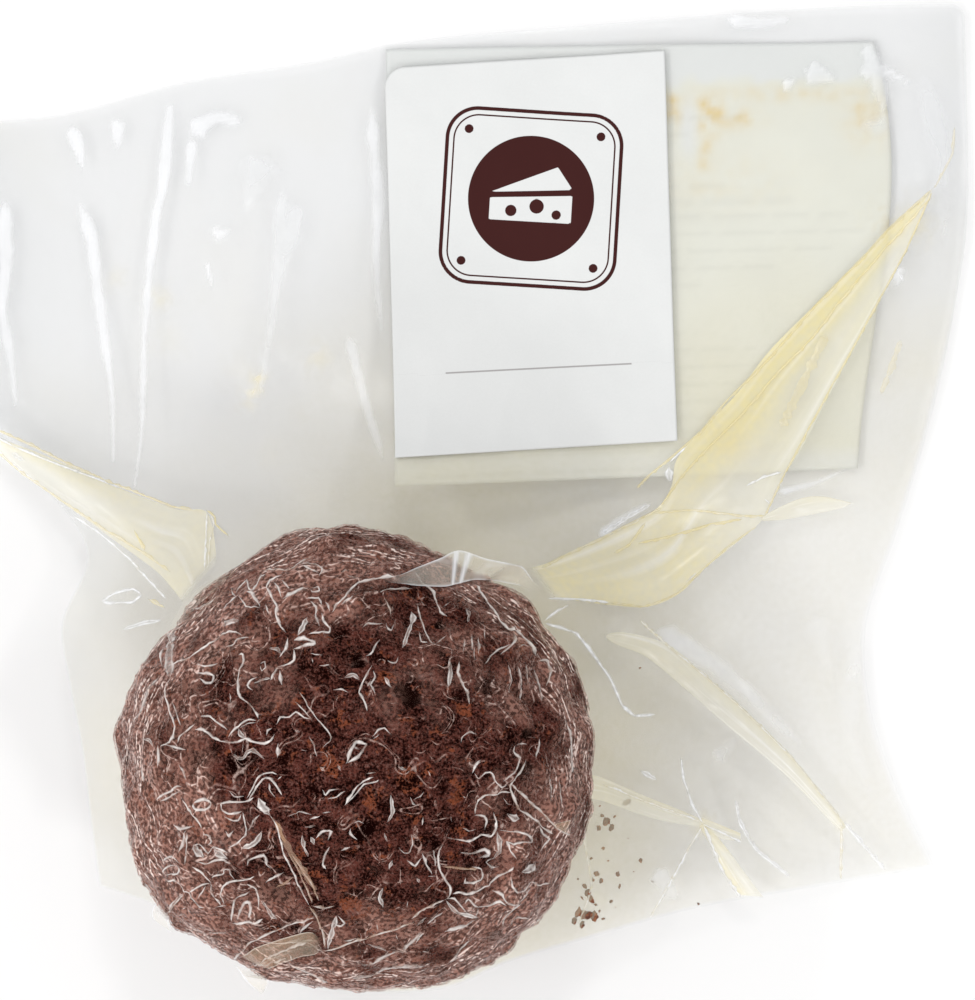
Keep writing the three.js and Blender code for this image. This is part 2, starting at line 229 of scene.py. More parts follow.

# Soft painted highlights of the flat bag, bright patches where it tilts to the light: points, width,
# strength.
GLEAMS = [
    ([(-71.8, 108), (-71.9, 101), (-71.6, 95), (-72.6, 89), (-71, 79.4), (-69.5, 68)], 2.0, 0.8),
    ([(-58.5, 123.5), (-57, 119), (-56.1, 115)], 1.8, 0.8),
    ([(-56.9, 108.2), (-54.5, 100.4), (-53.5, 92.4), (-51.9, 81.4), (-50.3, 71.2), (-49.7, 57)], 1.5, 0.9),
    ([(-38.9, 128), (-39.6, 118), (-40.3, 112), (-41.7, 104.8), (-43.3, 91), (-43.9, 79.4), (-44.1, 64),
      (-45.3, 52)], 1.4, 0.9),
    ([(-49.3, 125), (-49.3, 119.4)], 1.7, 0.7),
    ([(-34.2, 122.6), (-30, 125.6), (-25, 124.8)], 2.6, 0.9),
    ([(-34.6, 121), (-34.8, 116), (-35.1, 111.6)], 1.3, 0.75),
    ([(-30, 102.2), (-27, 102.6)], 1.4, 0.7),
    ([(-31.3, 96.5), (-30.5, 91.8)], 0.7, 0.7),
    ([(-19.9, 117.2), (-23.9, 107.2)], 4.2, 0.35),
    ([(-13.1, 108), (-15.5, 99), (-17.7, 90)], 2.6, 0.4),
    ([(1.5, 127), (2.6, 109), (2.4, 96), (3.4, 83)], 1.5, 0.6),
    ([(-2.9, 81.2), (0.1, 69.2), (4.1, 57.2)], 1.6, 0.5),
    ([(-16.3, 111), (-17.9, 89), (-20.5, 70)], 1.6, 0.4),
    ([(73, 145.2), (79, 144.6), (85, 145.4)], 1.8, 0.7),
    ([(88.7, 134.9), (93.9, 133.2)], 3.0, 0.8),
    ([(83.8, 132.4), (86.2, 132.6)], 1.5, 0.75),
    ([(99.3, 134.2), (103.1, 135.4), (109, 132.4)], 1.9, 0.8),
    ([(101.1, 139), (103.1, 133.2), (104.5, 128)], 2.1, 0.65),
    ([(105.9, 95.4), (106.3, 91.8)], 1.6, 0.7),
    ([(112, 133), (115, 118), (116, 100)], 3.5, 0.3),
    ([(58, -24), (62, -30)], 3.2, 0.5),
    ([(70, -2), (74, 2)], 2.4, 0.4),
    ([(98, 20), (97, 4), (101, -9)], 3.0, 0.35),
    ([(90, 26), (93, 14)], 3.4, 0.3),
    ([(-66, 44), (-60, 34)], 2.5, 0.4),
    ([(100.3, 140), (102, 134), (103.6, 127)], 2.2, 0.7),
    ([(82.5, 50.7), (89, 52.3), (96, 55.2)], 1.0, 0.6),
    ([(58.3, 23.4), (64, 20), (70.9, 15.6), (79.1, 8.2), (87.1, 0.4)], 3.4, 0.55),
    ([(46.7, 42.2), (51.5, 45.6), (56.3, 48.6)], 1.2, 0.6),
    ([(102, 125.4), (103, 122)], 4.0, 0.35),
]

# Creases that stand out in the film over the ball: points, width, whiteness (a painted highlight along the
# crease), oiliness.
BALL_CREASES = [
    # The long fold that runs down to the foot, its oiled side and the folded foot.
    ([(-16.4, -4), (-15.6, -5.6), (-14.2, -7)], 1.7, 0.9, 0.0),
    ([(-14.2, -7), (-13.2, -8.2), (-12.7, -9.7), (-12.3, -11.7), (-11.7, -14.2), (-10.5, -17), (-9, -20),
      (-7.3, -23.5)], 0.5, 0.9, 0.15),
    ([(-7.3, -23.5), (-6.2, -25.7), (-5.3, -28.3), (-4.8, -32.4)], 0.6, 0.35, 0.7),
    ([(-13.2, -8), (-12.4, -9.6), (-11.4, -12)], 1.2, 0.1, 0.9),
    ([(-12, -10.6), (-10.6, -13.6), (-9, -16), (-7.6, -18.6), (-6, -20.6)], 1.5, 0.05, 0.5),
    ([(-10.4, -14), (-8.2, -17.6), (-6.4, -20.3), (-5.6, -22.6)], 0.6, 0.3, 0.7),
    ([(-11.2, -13.4), (-9.2, -17.3), (-7.6, -20.8), (-6.8, -23)], 0.5, 0.25, 0.7),
    ([(-6.9, -23.6), (-4.8, -24.1), (-2.9, -23.8)], 0.7, 0.4, 0.5),
    ([(-15.3, -19.5), (-13.4, -18.3), (-11.9, -17.4)], 0.6, 0.7, 0.1),
    ([(-13.4, -20.4), (-11.8, -19.4), (-10.3, -18.4)], 0.7, 0.15, 0.7),
    ([(-23.6, -38), (-21.4, -34.9), (-19.4, -32.4), (-17, -30.6), (-14.3, -29.2), (-11, -27.3),
      (-8.3, -26.3),
      (-6.6, -26)], 0.6, 0.55, 0.35),
    ([(-17, -35.8), (-14, -33.8), (-10.7, -32.2), (-8.3, -31.2)], 0.8, 0.8, 0.15),
    ([(-8.3, -31.2), (-7, -31.4), (-5.1, -32.7)], 0.5, 0.4, 0.6),
    ([(-17, -31), (-13.7, -31.6), (-9.7, -31.2)], 0.4, 0.6, 0.3),
    ([(-19.6, -37.6), (-15.6, -36.2), (-12.2, -34.6)], 0.7, 0.7, 0.15),
    ([(-9.2, -28.9), (-8.3, -27.7), (-6.8, -26.6)], 0.9, 0.8, 0.0),
    ([(-2.6, -25.8), (-3.2, -28), (-3.8, -30), (-4.4, -32.3)], 1.3, 1.0, 0.0),
    ([(-2.4, -25.7), (-1.1, -27.1), (-1.8, -28.1), (-2.9, -27.5)], 0.7, 0.9, 0.0),
    ([(-5, -32.7), (-2.8, -32.3), (0.3, -31), (3, -30), (6, -29), (8.3, -28.4), (9.7, -27.7),
      (11.4, -26.8)],
     0.6, 0.45, 0.6),
    ([(-1.4, -30.8), (-0.2, -30.7), (1.1, -30.2)], 0.5, 0.6, 0.3),
    # Right of the foot.
    ([(17, -22.9), (15, -23.6), (13, -24.7), (11, -26.3)], 0.7, 0.5, 0.5),
    ([(16.7, -25.4), (15, -26.2), (13.7, -27.4)], 0.6, 0.6, 0.1),
    ([(13.7, -26.1), (12.9, -26.9), (11.8, -27.8)], 1.1, 0.9, 0.0),
    ([(16.5, -12.2), (16, -14.2), (15.8, -16), (16.7, -18.3), (18, -20.3), (18, -21.7),
      (17.1, -22.9)], 0.7, 0.8, 0.15),
    ([(17.3, -23), (18.7, -25), (20.3, -25.8), (21.7, -26.5), (23, -26.8)], 1.1, 1.0, 0.0),
    ([(17.4, -22.5), (18.7, -22.7), (19.7, -23.9), (20.9, -25.6)], 0.5, 0.9, 0.0),
    ([(18.4, -21.7), (19.7, -21.4), (21, -22), (23, -21.7), (25, -20.5), (26.7, -19), (28.7, -18.2),
      (29.6, -17.4)],
     0.7, 0.85, 0.0),
    ([(22, -16.9), (23.7, -17.4), (23.9, -19), (22.3, -20), (20.7, -19.7), (20.9, -18.9)], 0.6, 0.85, 0.0),
    ([(16.3, -16.3), (19.3, -17), (21.2, -17.3), (23.1, -17.2)], 0.6, 0.2, 0.9),
    ([(20.7, -24), (21.3, -23), (22.1, -24), (23, -24.6), (25, -24.7), (27, -24),
      (28.1, -24.8)], 0.6, 0.85, 0.0),
    ([(23, -24.6), (22.7, -25.8), (22.6, -27)], 0.7, 0.8, 0.0),
    ([(25.7, -21.9), (27.3, -22.6), (28.3, -24.3), (30.3, -24.7), (31.7, -23.3),
      (32.2, -22)], 0.7, 0.75, 0.0),
    ([(29, -19), (29.1, -21), (30, -22.2), (31.3, -22), (32.7, -20.7), (34.3, -21.9),
      (36.4, -21.8)], 0.6, 0.8, 0.0),
    ([(33.4, -16.9), (32.4, -18), (31, -18.5)], 1.9, 0.7, 0.0),
    ([(27.5, -29.3), (27.7, -27.7), (29.3, -26), (31, -25)], 0.8, 0.6, 0.1),
    ([(29, -30), (29.3, -28.3), (31, -27.9), (32.7, -28.7)], 0.6, 0.5, 0.1),
    ([(17, -29.3), (19, -28.6), (21, -28), (22.5, -27.2)], 0.8, 0.75, 0.0),
    ([(22.2, -30.7), (19.8, -33.6), (17.8, -36.3)], 0.7, 0.45, 0.1),
    ([(13, -29), (12.2, -30.2), (11.7, -31.7)], 0.6, 0.6, 0.1),
    ([(12.8, -33.1), (14, -33.3)], 0.8, 0.7, 0.0),
    ([(14.8, -13.2), (15.2, -14.6), (15.3, -16.4)], 0.7, 0.8, 0.0),
    ([(12.8, -13.6), (13.6, -15.8), (14.7, -17.8)], 0.6, 0.75, 0.0),
    ([(1.7, -36), (4, -35.1), (6.3, -34), (9, -32.7), (11, -31.3), (12.7, -29)], 0.9, 0.5, 0.1),
    ([(-0.4, -39), (3, -38.7), (5.7, -37), (9, -36.2), (13, -36)], 0.9, 0.4, 0.05),
    ([(-12, -35.3), (-10, -37), (-7.3, -38.7), (-4.7, -39.8)], 0.8, 0.55, 0.1),
    ([(-11.6, -33.6), (-11.2, -35.3)], 0.5, 0.8, 0.0),
    ([(3, -31.4), (5, -32.2), (6.4, -33)], 0.9, 0.4, 0.0),
    ([(5.9, -20.3), (5.3, -22.1), (6, -23.9)], 1.1, 0.95, 0.0),
    ([(4.7, -27.2), (5, -28.7)], 0.8, 0.8, 0.0),
    ([(8.2, -29.3), (8.4, -30.7)], 0.6, 0.8, 0.0),
    ([(10.4, -22.9), (10.2, -24.1)], 0.6, 0.8, 0.0),
    ([(12, -18.6), (12.4, -19.4)], 1.2, 0.75, 0.0),
    ([(14, -18.2), (15.3, -18.1)], 0.5, 0.9, 0.0),
    # The lower left, where the film is most creased.
    ([(-35.3, -19.9), (-35, -18.7), (-33.4, -17.6), (-32, -17), (-31.5, -17.6), (-31.8, -18.7),
      (-33.4, -19.2),
      (-35.1, -20)], 0.5, 0.8, 0.0),
    ([(-35.1, -20.5), (-34, -20.8), (-32.8, -20.3), (-31.8, -20.9), (-30.8, -22.2), (-30, -22.5),
      (-29, -23.8),
      (-28, -24.9), (-27.1, -25.2)], 0.6, 0.85, 0.0),
    ([(-34.9, -17), (-33.8, -16), (-32.4, -15.4), (-31.2, -16.7)], 0.6, 0.7, 0.0),
    ([(-30, -22.6), (-28.8, -21.6), (-27.4, -20.8), (-25.8, -20.2)], 0.6, 0.85, 0.0),
    ([(-28.4, -23.6), (-27.4, -22.1), (-26.8, -21)], 0.6, 0.7, 0.0),
    ([(-25.6, -20.2), (-25.6, -22), (-24.6, -23.4), (-24.1, -24.5)], 0.6, 0.9, 0.0),
    ([(-23.4, -24.4), (-23.8, -22.4), (-23.4, -20.8), (-22, -19.8), (-20.2, -19.3), (-18.6, -19),
      (-17.3, -18.5)],
     0.6, 0.9, 0.0),
    ([(-29.1, -17.3), (-27.6, -18.2), (-26.4, -19.4), (-25.5, -20.3)], 0.6, 0.75, 0.3),
    ([(-25.5, -19.3), (-24.8, -18.8), (-23.2, -18.4), (-22.8, -17.3), (-22, -17.2), (-21.8, -18.2),
      (-21.1, -19.2)],
     0.5, 0.8, 0.0),
    ([(-24.9, -24.9), (-23.7, -24.6), (-22.9, -24.5)], 0.6, 0.7, 0.0),
    ([(-22.2, -27.8), (-21.8, -25.8), (-21.6, -24), (-20.8, -22.6), (-19.4, -22.2),
      (-18.5, -21.5)], 0.6, 0.85, 0.0),
    ([(-21.2, -27.6), (-20.4, -25.4), (-19.6, -24), (-18.7, -23.8), (-18.4, -25.4),
      (-18.8, -26.8)], 0.9, 0.7, 0.0),
    ([(-18.7, -19.9), (-17.2, -20.6), (-16.8, -22.6), (-16.8, -24.8)], 0.6, 0.85, 0.0),
    ([(-22.1, -28.2), (-20.4, -28), (-18.6, -27.4), (-17, -27.2), (-16.1, -26.7)], 0.6, 0.8, 0.0),
    ([(-16.4, -23.2), (-15.4, -24.4), (-14.6, -25.8), (-13.4, -26.6)], 1.1, 0.6, 0.0),
    ([(-27.1, -30.6), (-25, -30.4), (-23.3, -30.1)], 0.5, 0.7, 0.0),
    ([(-30.8, -26.2), (-30, -26.6)], 1.1, 0.85, 0.0),
    ([(-32.4, -27.5), (-31.6, -27.2)], 1.0, 0.8, 0.0),
    ([(-31.9, -26.4), (-31.3, -26.1)], 0.6, 0.7, 0.0),
    ([(-34.3, -30), (-33.9, -29.4)], 0.9, 0.7, 0.0),
    ([(-36.4, -29.8), (-34.5, -27), (-32.6, -24.5), (-31.1, -23)], 0.6, 0.55, 0.25),
    ([(-35.2, -28), (-33.7, -25.4), (-32.5, -23.7), (-31.1, -22.8)], 0.6, 0.6, 0.25),
    ([(-28.7, -13), (-28.1, -14.4), (-26.6, -15.3)], 2.2, 0.75, 0.0),
    ([(-24.8, -13.4), (-23.6, -14.6), (-22, -15.2)], 2.0, 0.7, 0.0),
    ([(-28.9, -13.3), (-27.6, -12.9), (-26, -14.6), (-25, -13.2), (-23.8, -13.4),
      (-22, -14.2)], 0.5, 0.8, 0.0),
    ([(-28, -16), (-26.5, -16.6), (-25, -16), (-23, -15.6), (-21.5, -16)], 0.6, 0.8, 0.0),
    ([(-32.9, -9.8), (-31.4, -10.4), (-30.4, -10.2), (-28.8, -9.7)], 0.8, 0.8, 0.0),
    ([(-30.2, -10.6), (-30.6, -12.8), (-31.4, -14.7)], 0.8, 0.7, 0.15),
    ([(-31.8, -10.8), (-31, -12.2)], 1.3, 0.55, 0.0),
    ([(-30, -11), (-29.9, -14), (-30.4, -17)], 0.5, 0.6, 0.1),
    ([(-27, -11), (-25.6, -11.2), (-25.2, -12.4), (-26, -13)], 0.7, 0.7, 0.0),
    ([(-22.5, -10.2), (-21.9, -11.2), (-21, -10)], 0.8, 0.6, 0.0),
    # The left side.
    ([(-27.4, 10.2), (-25.6, 10.4), (-24.2, 9.4), (-22.2, 8.1)], 0.6, 0.9, 0.0),
    ([(-22, 6.7), (-20.8, 8.2), (-19.6, 9.3), (-18.2, 10.1), (-16.7, 9.9)], 0.6, 0.95, 0.0),
    ([(-20, 8.4), (-19.2, 9), (-18, 9.5), (-16.6, 9.5)], 0.4, 0.8, 0.0),
    ([(-28.4, 7.9), (-27, 7.9), (-26, 7.6), (-24.8, 6.6), (-23.4, 6.1), (-21.6, 5.9), (-20.3, 6),
      (-18.6, 6.6),
      (-17.6, 6.2), (-15.2, 5.8), (-14, 6.5), (-13.4, 7.7)], 0.7, 0.95, 0.0),
    ([(-20.2, 8.4), (-19.8, 7.3), (-18.4, 6.7)], 1.3, 0.7, 0.0),
    ([(-14.8, 7.3), (-14.6, 8.2), (-13.8, 8.6)], 0.9, 0.7, 0.0),
    ([(-20.7, 3.8), (-20, 3.1), (-19, 3.2), (-18.2, 4.2), (-17.4, 4.6), (-16.4, 4.2),
      (-15.2, 3)], 1.0, 0.6, 0.0),
    ([(-18.6, -4.2), (-17.6, -2.4), (-16.6, -0.6), (-15.5, 0.4), (-13.8, 0.7), (-13, 0.3)], 0.5, 0.9, 0.0),
    ([(-18.2, -4.5), (-16.9, -2.2), (-15.3, -0.3), (-14.2, -0.4), (-13, -1.8),
      (-12.1, -3.4)], 0.7, 0.9, 0.0),
    ([(-14.4, -1.2), (-14.2, -2.4), (-13.3, -3.8)], 0.7, 0.75, 0.0),
    ([(-12.9, -0.6), (-12.1, 0)], 0.6, 0.8, 0.0),
    ([(-21.8, -2.8), (-21, -3.8), (-20.2, -3.9), (-19.1, -3.8)], 0.6, 0.8, 0.0),
    ([(-23.3, -6), (-23.4, -5.2), (-22, -4.9), (-20, -4.8), (-18.1, -4.5), (-17.2, -4)], 0.7, 0.9, 0.0),
    ([(-23.5, -5.3), (-23.2, -6.4), (-22, -7), (-20.4, -6.9), (-19.4, -6.4)], 0.7, 0.9, 0.0),
    ([(-22.8, -7.6), (-21.2, -8.2), (-20, -8.1), (-19.6, -7)], 0.6, 0.8, 0.0),
    ([(-19.3, -6.6), (-19, -8), (-18.6, -9.6), (-18.8, -10.7), (-20, -12), (-21.9, -13.2)], 0.5, 0.85, 0.0),
    ([(-28.8, -5.6), (-27.6, -5), (-26.2, -4.6), (-25.2, -5.3), (-25.8, -6.3), (-27, -6.6), (-28.4, -6.6),
      (-28.9, -5.6)], 0.8, 0.85, 0.0),
    ([(-36, -5.6), (-34.8, -4.4), (-33, -3.6), (-31.8, -2.6), (-31, -2.6)], 0.7, 0.85, 0.0),
    ([(-35.4, -5.8), (-34.2, -5.2), (-32.8, -4.3), (-31.4, -3.6)], 0.6, 0.75, 0.0),
    ([(-33.4, 16.8), (-34.1, 14.4), (-34.1, 12.4), (-33.4, 10.6), (-32.6, 9.4), (-32.2, 8.2), (-32.6, 6.4),
      (-33, 5.4), (-34.2, 4.7)], 0.6, 0.8, 0.1),
    ([(-33.2, 12.6), (-32, 10.6), (-31.2, 8.4)], 0.5, 0.65, 0.1),
    ([(-31.6, 5.2), (-31.2, 6.6), (-29.8, 7.6), (-28.4, 9)], 0.5, 0.6, 0.1),
    ([(-34.6, 4.4), (-33.8, 5), (-32.6, 4.6), (-31.4, 4.3), (-29.9, 4.2)], 0.7, 0.8, 0.0),
    ([(-35.3, 4.8), (-35.2, 2.4), (-35.6, 0.6)], 0.6, 0.65, 0.1),
    ([(-31.5, 1.5), (-30.6, 0.2), (-30.1, -1.4)], 0.6, 0.6, 0.0),
    ([(-38.9, 5.5), (-37.4, 5.5), (-36.6, 4.3)], 1.1, 0.85, 0.0),
    ([(-31.2, -4.8), (-29.8, -6.6), (-28.2, -8.6), (-26.8, -10.3)], 0.5, 0.7, 0.35),
    ([(-16.2, -6.2), (-15, -6.3), (-13.9, -5.8)], 0.6, 0.7, 0.0),
    ([(-18.2, -10), (-17.4, -8.2), (-16.2, -7)], 0.7, 0.6, 0.0),
    ([(-19.6, -13.4), (-17.8, -12.7), (-16.6, -11.6), (-15.8, -9.9)], 1.4, 0.9, 0.0),
    ([(-18.7, -16.6), (-18.4, -15.4), (-17, -14.8), (-15.3, -14.5), (-14.8, -16.2),
      (-14.1, -16.9)], 0.8, 0.85, 0.0),
    ([(-38.8, 2.4), (-38.9, 0), (-38.5, -2.4)], 0.8, 0.4, 0.05),
    ([(-41, 8.6), (-39.6, 10.6), (-38.4, 12.8), (-37.6, 14.8), (-36, 17)], 0.9, 0.45, 0.05),
    # The upper left.
    ([(-34.9, 18.7), (-33, 19.4), (-31, 20), (-29, 21.2), (-27, 22.4), (-25.2, 23.6), (-23.8, 24.8),
      (-22.6, 25.3),
      (-21, 25.3), (-19.7, 24.7)], 0.5, 0.8, 0.2),
    ([(-22.8, 22.4), (-21.6, 22.9), (-20.8, 23.8), (-19.6, 24.3), (-18.5, 24.4)], 0.5, 0.8, 0.0),
    ([(-28.2, 19.4), (-27, 19.2), (-25.6, 19.3), (-24.3, 19.7)], 0.6, 0.95, 0.0),
    ([(-28.1, 17.7), (-26.6, 17.9), (-25.1, 17.6), (-25.3, 16.3), (-26.6, 16.2),
      (-27.8, 17)], 0.8, 0.9, 0.0),
    ([(-20.3, 21.2), (-19.6, 21.4), (-19.3, 20.2), (-19.8, 18.6), (-20.2, 16.6), (-20.3, 14.8),
      (-19.8, 13.8),
      (-18.6, 13.2), (-17.4, 12.2), (-16.6, 11), (-16.3, 10.2)], 0.6, 0.8, 0.1),
    ([(-23.6, 29), (-23, 30), (-22.2, 31), (-21.3, 31.9)], 0.6, 0.8, 0.0),
    ([(-21.4, 31.8), (-20, 30.6), (-19.6, 30), (-18.2, 29.9), (-16.7, 29.8)], 0.6, 0.9, 0.0),
    ([(-22.8, 33.2), (-22.4, 32), (-21.6, 31.6)], 0.6, 0.8, 0.0),
    ([(-21.8, 32.2), (-21, 33.8), (-20, 34.6), (-19.2, 32.9), (-18.4, 32.8), (-17.8, 33.6), (-17.2, 35.2),
      (-16.3, 35.7)], 0.6, 0.75, 0.1),
    ([(-20.1, 32.6), (-18.6, 32.3), (-18.2, 31.6), (-17.4, 30.9), (-16.8, 29.9)], 0.9, 0.75, 0.0),
    ([(-23.7, 26.2), (-22.2, 27.2), (-20.7, 27.5)], 1.2, 0.7, 0.05),
    ([(-15.9, 30.5), (-15.4, 29.4), (-15, 28.5)], 0.7, 0.75, 0.0),
    ([(-16.3, 19.9), (-15.5, 20.3), (-15.2, 19.1), (-15.9, 18.5), (-16.3, 19.5)], 0.5, 0.9, 0.0),
    ([(-17.6, 15.2), (-18.5, 15.9), (-18, 17), (-16.8, 17.6)], 0.5, 0.85, 0.0),
    ([(-17.4, 16.5), (-15.8, 17.2), (-14.4, 17.3)], 1.1, 0.95, 0.0),
    ([(-21.9, 14.5), (-21.3, 12.8)], 0.7, 0.8, 0.0),
    ([(-31, 28.6), (-29, 29.4), (-27, 30.2), (-26, 31.2)], 0.6, 0.4, 0.3),
    ([(-13.2, 35.8), (-15.2, 34.6), (-15.8, 33.4), (-14.8, 31.8), (-13.5, 29.9), (-13.7, 28.4), (-13, 26.8),
      (-11.7, 25.4)], 0.7, 0.85, 0.05),
    ([(-14.6, 34.4), (-13.5, 33.2), (-12.9, 31.6)], 0.6, 0.75, 0.0),
    ([(-13.1, 34.7), (-12.2, 34), (-11.5, 33.3)], 0.9, 0.8, 0.0),
    ([(-12.8, 31.4), (-10.7, 32.5), (-9, 33.4), (-7.9, 33.3)], 0.8, 0.7, 0.1),
    ([(-7.4, 33.3), (-6.2, 33.6), (-5.9, 32.9), (-7.2, 32.6), (-7.5, 33.2)], 0.5, 0.9, 0.0),
    ([(-9.8, 35.8), (-8.8, 35.2)], 1.3, 0.8, 0.0),
    ([(-9.2, 37.1), (-7.7, 36.7), (-6.3, 36.2)], 0.9, 0.85, 0.0),
    ([(-17, 36.5), (-14.3, 36.7), (-11.3, 36.8), (-9.7, 38), (-7.3, 39.5)], 0.6, 0.4, 0.35),
    ([(-9.8, 37.7), (-7, 37.6), (-5.6, 36.7), (-6.2, 35.5)], 0.5, 0.5, 0.2),
    ([(-8.3, 31.4), (-6, 31.7), (-5.3, 30.2)], 0.6, 0.85, 0.0),
    ([(-7.4, 30.8), (-6.4, 30), (-6.4, 28.3), (-5.5, 26.7)], 0.7, 0.9, 0.0),
    ([(-5.4, 29), (-5, 27.5), (-3.7, 26.3), (-3.9, 25.6), (-5.7, 25.6), (-7.6, 25.4)], 0.6, 0.95, 0.0),
    ([(-4.8, 31), (-4.2, 30.2), (-3.9, 29.2)], 0.7, 0.7, 0.0),
    ([(-8.1, 28.3), (-8.6, 26.8), (-9.6, 25)], 1.5, 0.85, 0.0),
    ([(-10.3, 24.2), (-8.3, 24.6), (-6.2, 23.9), (-8, 23.3), (-10.3, 22.8)], 0.9, 0.85, 0.0),
    ([(-10.3, 22.8), (-10.3, 20.8), (-11.5, 19.8), (-13, 19.3), (-14, 17.8), (-14.3, 17)], 0.7, 0.9, 0.0),
    ([(-11.4, 24.6), (-11.8, 22.7), (-12.9, 21.2)], 0.7, 0.9, 0.0),
    ([(-14.8, 22.6), (-13.3, 22.6), (-12.6, 21.7)], 1.2, 0.75, 0.0),
    ([(-12.7, 18.8), (-12.6, 17.4), (-12.2, 16.1)], 0.9, 0.8, 0.0),
    ([(-5.5, 19.9), (-3.7, 19.9)], 0.6, 0.9, 0.0),
    ([(-7.1, 22), (-5, 21.8)], 0.5, 0.9, 0.0),
    ([(-6.9, 21.2), (-6.7, 20.2)], 0.5, 0.8, 0.0),
    ([(-9, 15), (-8, 13.7), (-7.3, 12.3), (-5.7, 10.3), (-3.5, 7.7), (-3.2, 6.5),
      (-4.8, 5.2)], 0.4, 0.6, 0.2),
    ([(-9.8, 13.3), (-7.7, 11.3), (-6.4, 9.8)], 0.4, 0.55, 0.2),
    ([(-13, 9.2), (-12.3, 10.5), (-10.7, 10.6), (-9.5, 11.4), (-8, 10.5), (-6.8, 10.2)], 0.5, 0.85, 0.0),
    # The crown.
    ([(-1, 17.7), (0.7, 18.2), (1.9, 17.2)], 1.0, 0.55, 0.0),
    ([(-2.9, 15.5), (-1.5, 15.7), (-0.2, 15.2)], 0.5, 0.75, 0.0),
    ([(4, 19.7), (3, 18), (2.1, 16.2), (1.8, 15), (2.7, 13.6), (3.2, 11.7)], 0.6, 0.9, 0.0),
    ([(4.2, 18.8), (4.6, 17.7), (3.8, 16.2), (4.7, 14.6)], 0.6, 0.8, 0.0),
    ([(3.9, 17), (3.2, 15.9)], 1.2, 0.7, 0.0),
    ([(6.2, 17.7), (7.5, 15.7)], 1.0, 0.9, 0.0),
    ([(5.4, 24.4), (4.5, 23.2), (4, 22), (2.9, 21.4)], 0.7, 0.85, 0.0),
    ([(8.6, 21.2), (8.4, 20.2), (7.5, 20.1), (6.7, 20.6)], 0.6, 0.85, 0.0),
    ([(6.4, 27.4), (6.7, 26.3), (7.4, 26), (7.8, 26.9)], 0.6, 0.85, 0.0),
    ([(10.9, 29.2), (11.1, 27.4), (10.3, 25.3), (9.4, 22.7)], 1.1, 0.95, 0.0),
    ([(11.8, 30.2), (12.8, 27.3), (14.3, 24), (15.1, 23.1)], 0.5, 0.6, 0.2),
    ([(12.3, 25.8), (12.8, 23.9), (13.9, 23.7)], 0.6, 0.8, 0.0),
    ([(15.3, 23.4), (16.2, 24.1), (17.3, 24.9)], 0.5, 0.5, 0.1),
    ([(2.2, 26.5), (3, 27.2), (4.4, 27.2), (6, 27.3)], 0.5, 0.5, 0.05),
    ([(6, 31.3), (6.8, 30), (7.3, 28.4)], 0.5, 0.3, 0.4),
    ([(-7.2, 7.2), (-6.2, 5.7), (-5.8, 3.6)], 0.6, 0.65, 0.05),
    ([(-12.7, 6), (-12.9, 3.3)], 0.9, 0.8, 0.0),
    ([(-9.6, 8.2), (-8.8, 7.9)], 1.4, 0.5, 0.05),
    ([(-8.6, 4.8), (-7.6, 4.7)], 0.7, 0.7, 0.0),
    ([(-5.2, 1.8), (-4.2, 1.1)], 1.2, 0.8, 0.05),
    ([(-2, 2.3), (-1.5, 1.2)], 1.0, 0.8, 0.05),
    ([(-0.5, 2.4), (0.3, 4.6), (1.2, 6.2), (3.2, 5.8), (1.8, 3.8), (-0.3, 2.5)], 0.9, 0.9, 0.0),
    ([(0.8, 5.4), (1.9, 5)], 1.4, 0.6, 0.0),
    ([(4.1, 7.1), (5.2, 8.3), (6.3, 8.7), (7.6, 7.5)], 0.5, 0.95, 0.0),
    ([(4.3, 6.8), (5.4, 7.4)], 0.5, 0.85, 0.0),
    ([(-0.8, -5.1), (0.2, -3.7), (1.3, -1.7), (2.7, -0.6), (4.4, 0)], 0.6, 1.0, 0.0),
    ([(-0.4, -4.8), (1.2, -3), (2.7, -1.3), (4.8, -0.8), (5.4, -0.6)], 0.5, 0.9, 0.0),
    ([(3, 0.6), (4.8, 0.9)], 0.5, 0.4, 0.4),
    ([(-4.7, -2.2), (-4.2, -3.3), (-3.3, -2.3), (-1.7, -2.1)], 0.5, 0.8, 0.0),
    ([(-3.8, -3.9), (-2.2, -3.5), (-0.6, -2.4)], 0.5, 0.85, 0.0),
    ([(-4.8, -6.4), (-3.3, -6.2)], 0.7, 0.85, 0.0),
    ([(-7.1, -7.6), (-5.2, -7)], 0.7, 0.9, 0.0),
    ([(-7.9, -9), (-6, -8.7)], 1.1, 0.85, 0.0),
    ([(-10.9, -7.1), (-9, -6.2), (-6.7, -6.8)], 0.4, 0.7, 0.0),
    ([(-8.4, -10.5), (-8.2, -12.3), (-7.4, -14.5)], 1.0, 0.75, 0.0),
    ([(-6.9, -10.8), (-6.3, -12.2)], 1.5, 0.75, 0.0),
    ([(-6, -11.1), (-4.8, -9.8), (-3.3, -9.7), (-3.8, -11.6)], 0.8, 0.9, 0.0),
    ([(-3.6, -12.7), (-4.4, -14.3), (-4.8, -16.1), (-4.3, -16.9)], 0.8, 0.85, 0.0),
    ([(0.3, -9.2), (0.2, -10.3), (1.4, -11.4)], 0.8, 0.8, 0.0),
    ([(0.8, -8.2), (1.7, -7.9), (2.6, -8.4)], 0.4, 0.7, 0.0),
    ([(-1.6, -13.5), (0.2, -12.8)], 0.7, 0.6, 0.0),
    ([(7.5, -3.2), (7.7, -5.3), (7.8, -6.7), (6.9, -8.2)], 1.0, 0.8, 0.0),
    ([(6.3, -10.1), (6.8, -11.7)], 1.0, 0.8, 0.0),
    ([(7.6, -15), (7, -16.7)], 1.0, 0.8, 0.0),
    ([(8.8, -12.7), (9.7, -13.7), (10.7, -13.7), (11.2, -11.9), (11, -10.4)], 0.4, 0.75, 0.05),
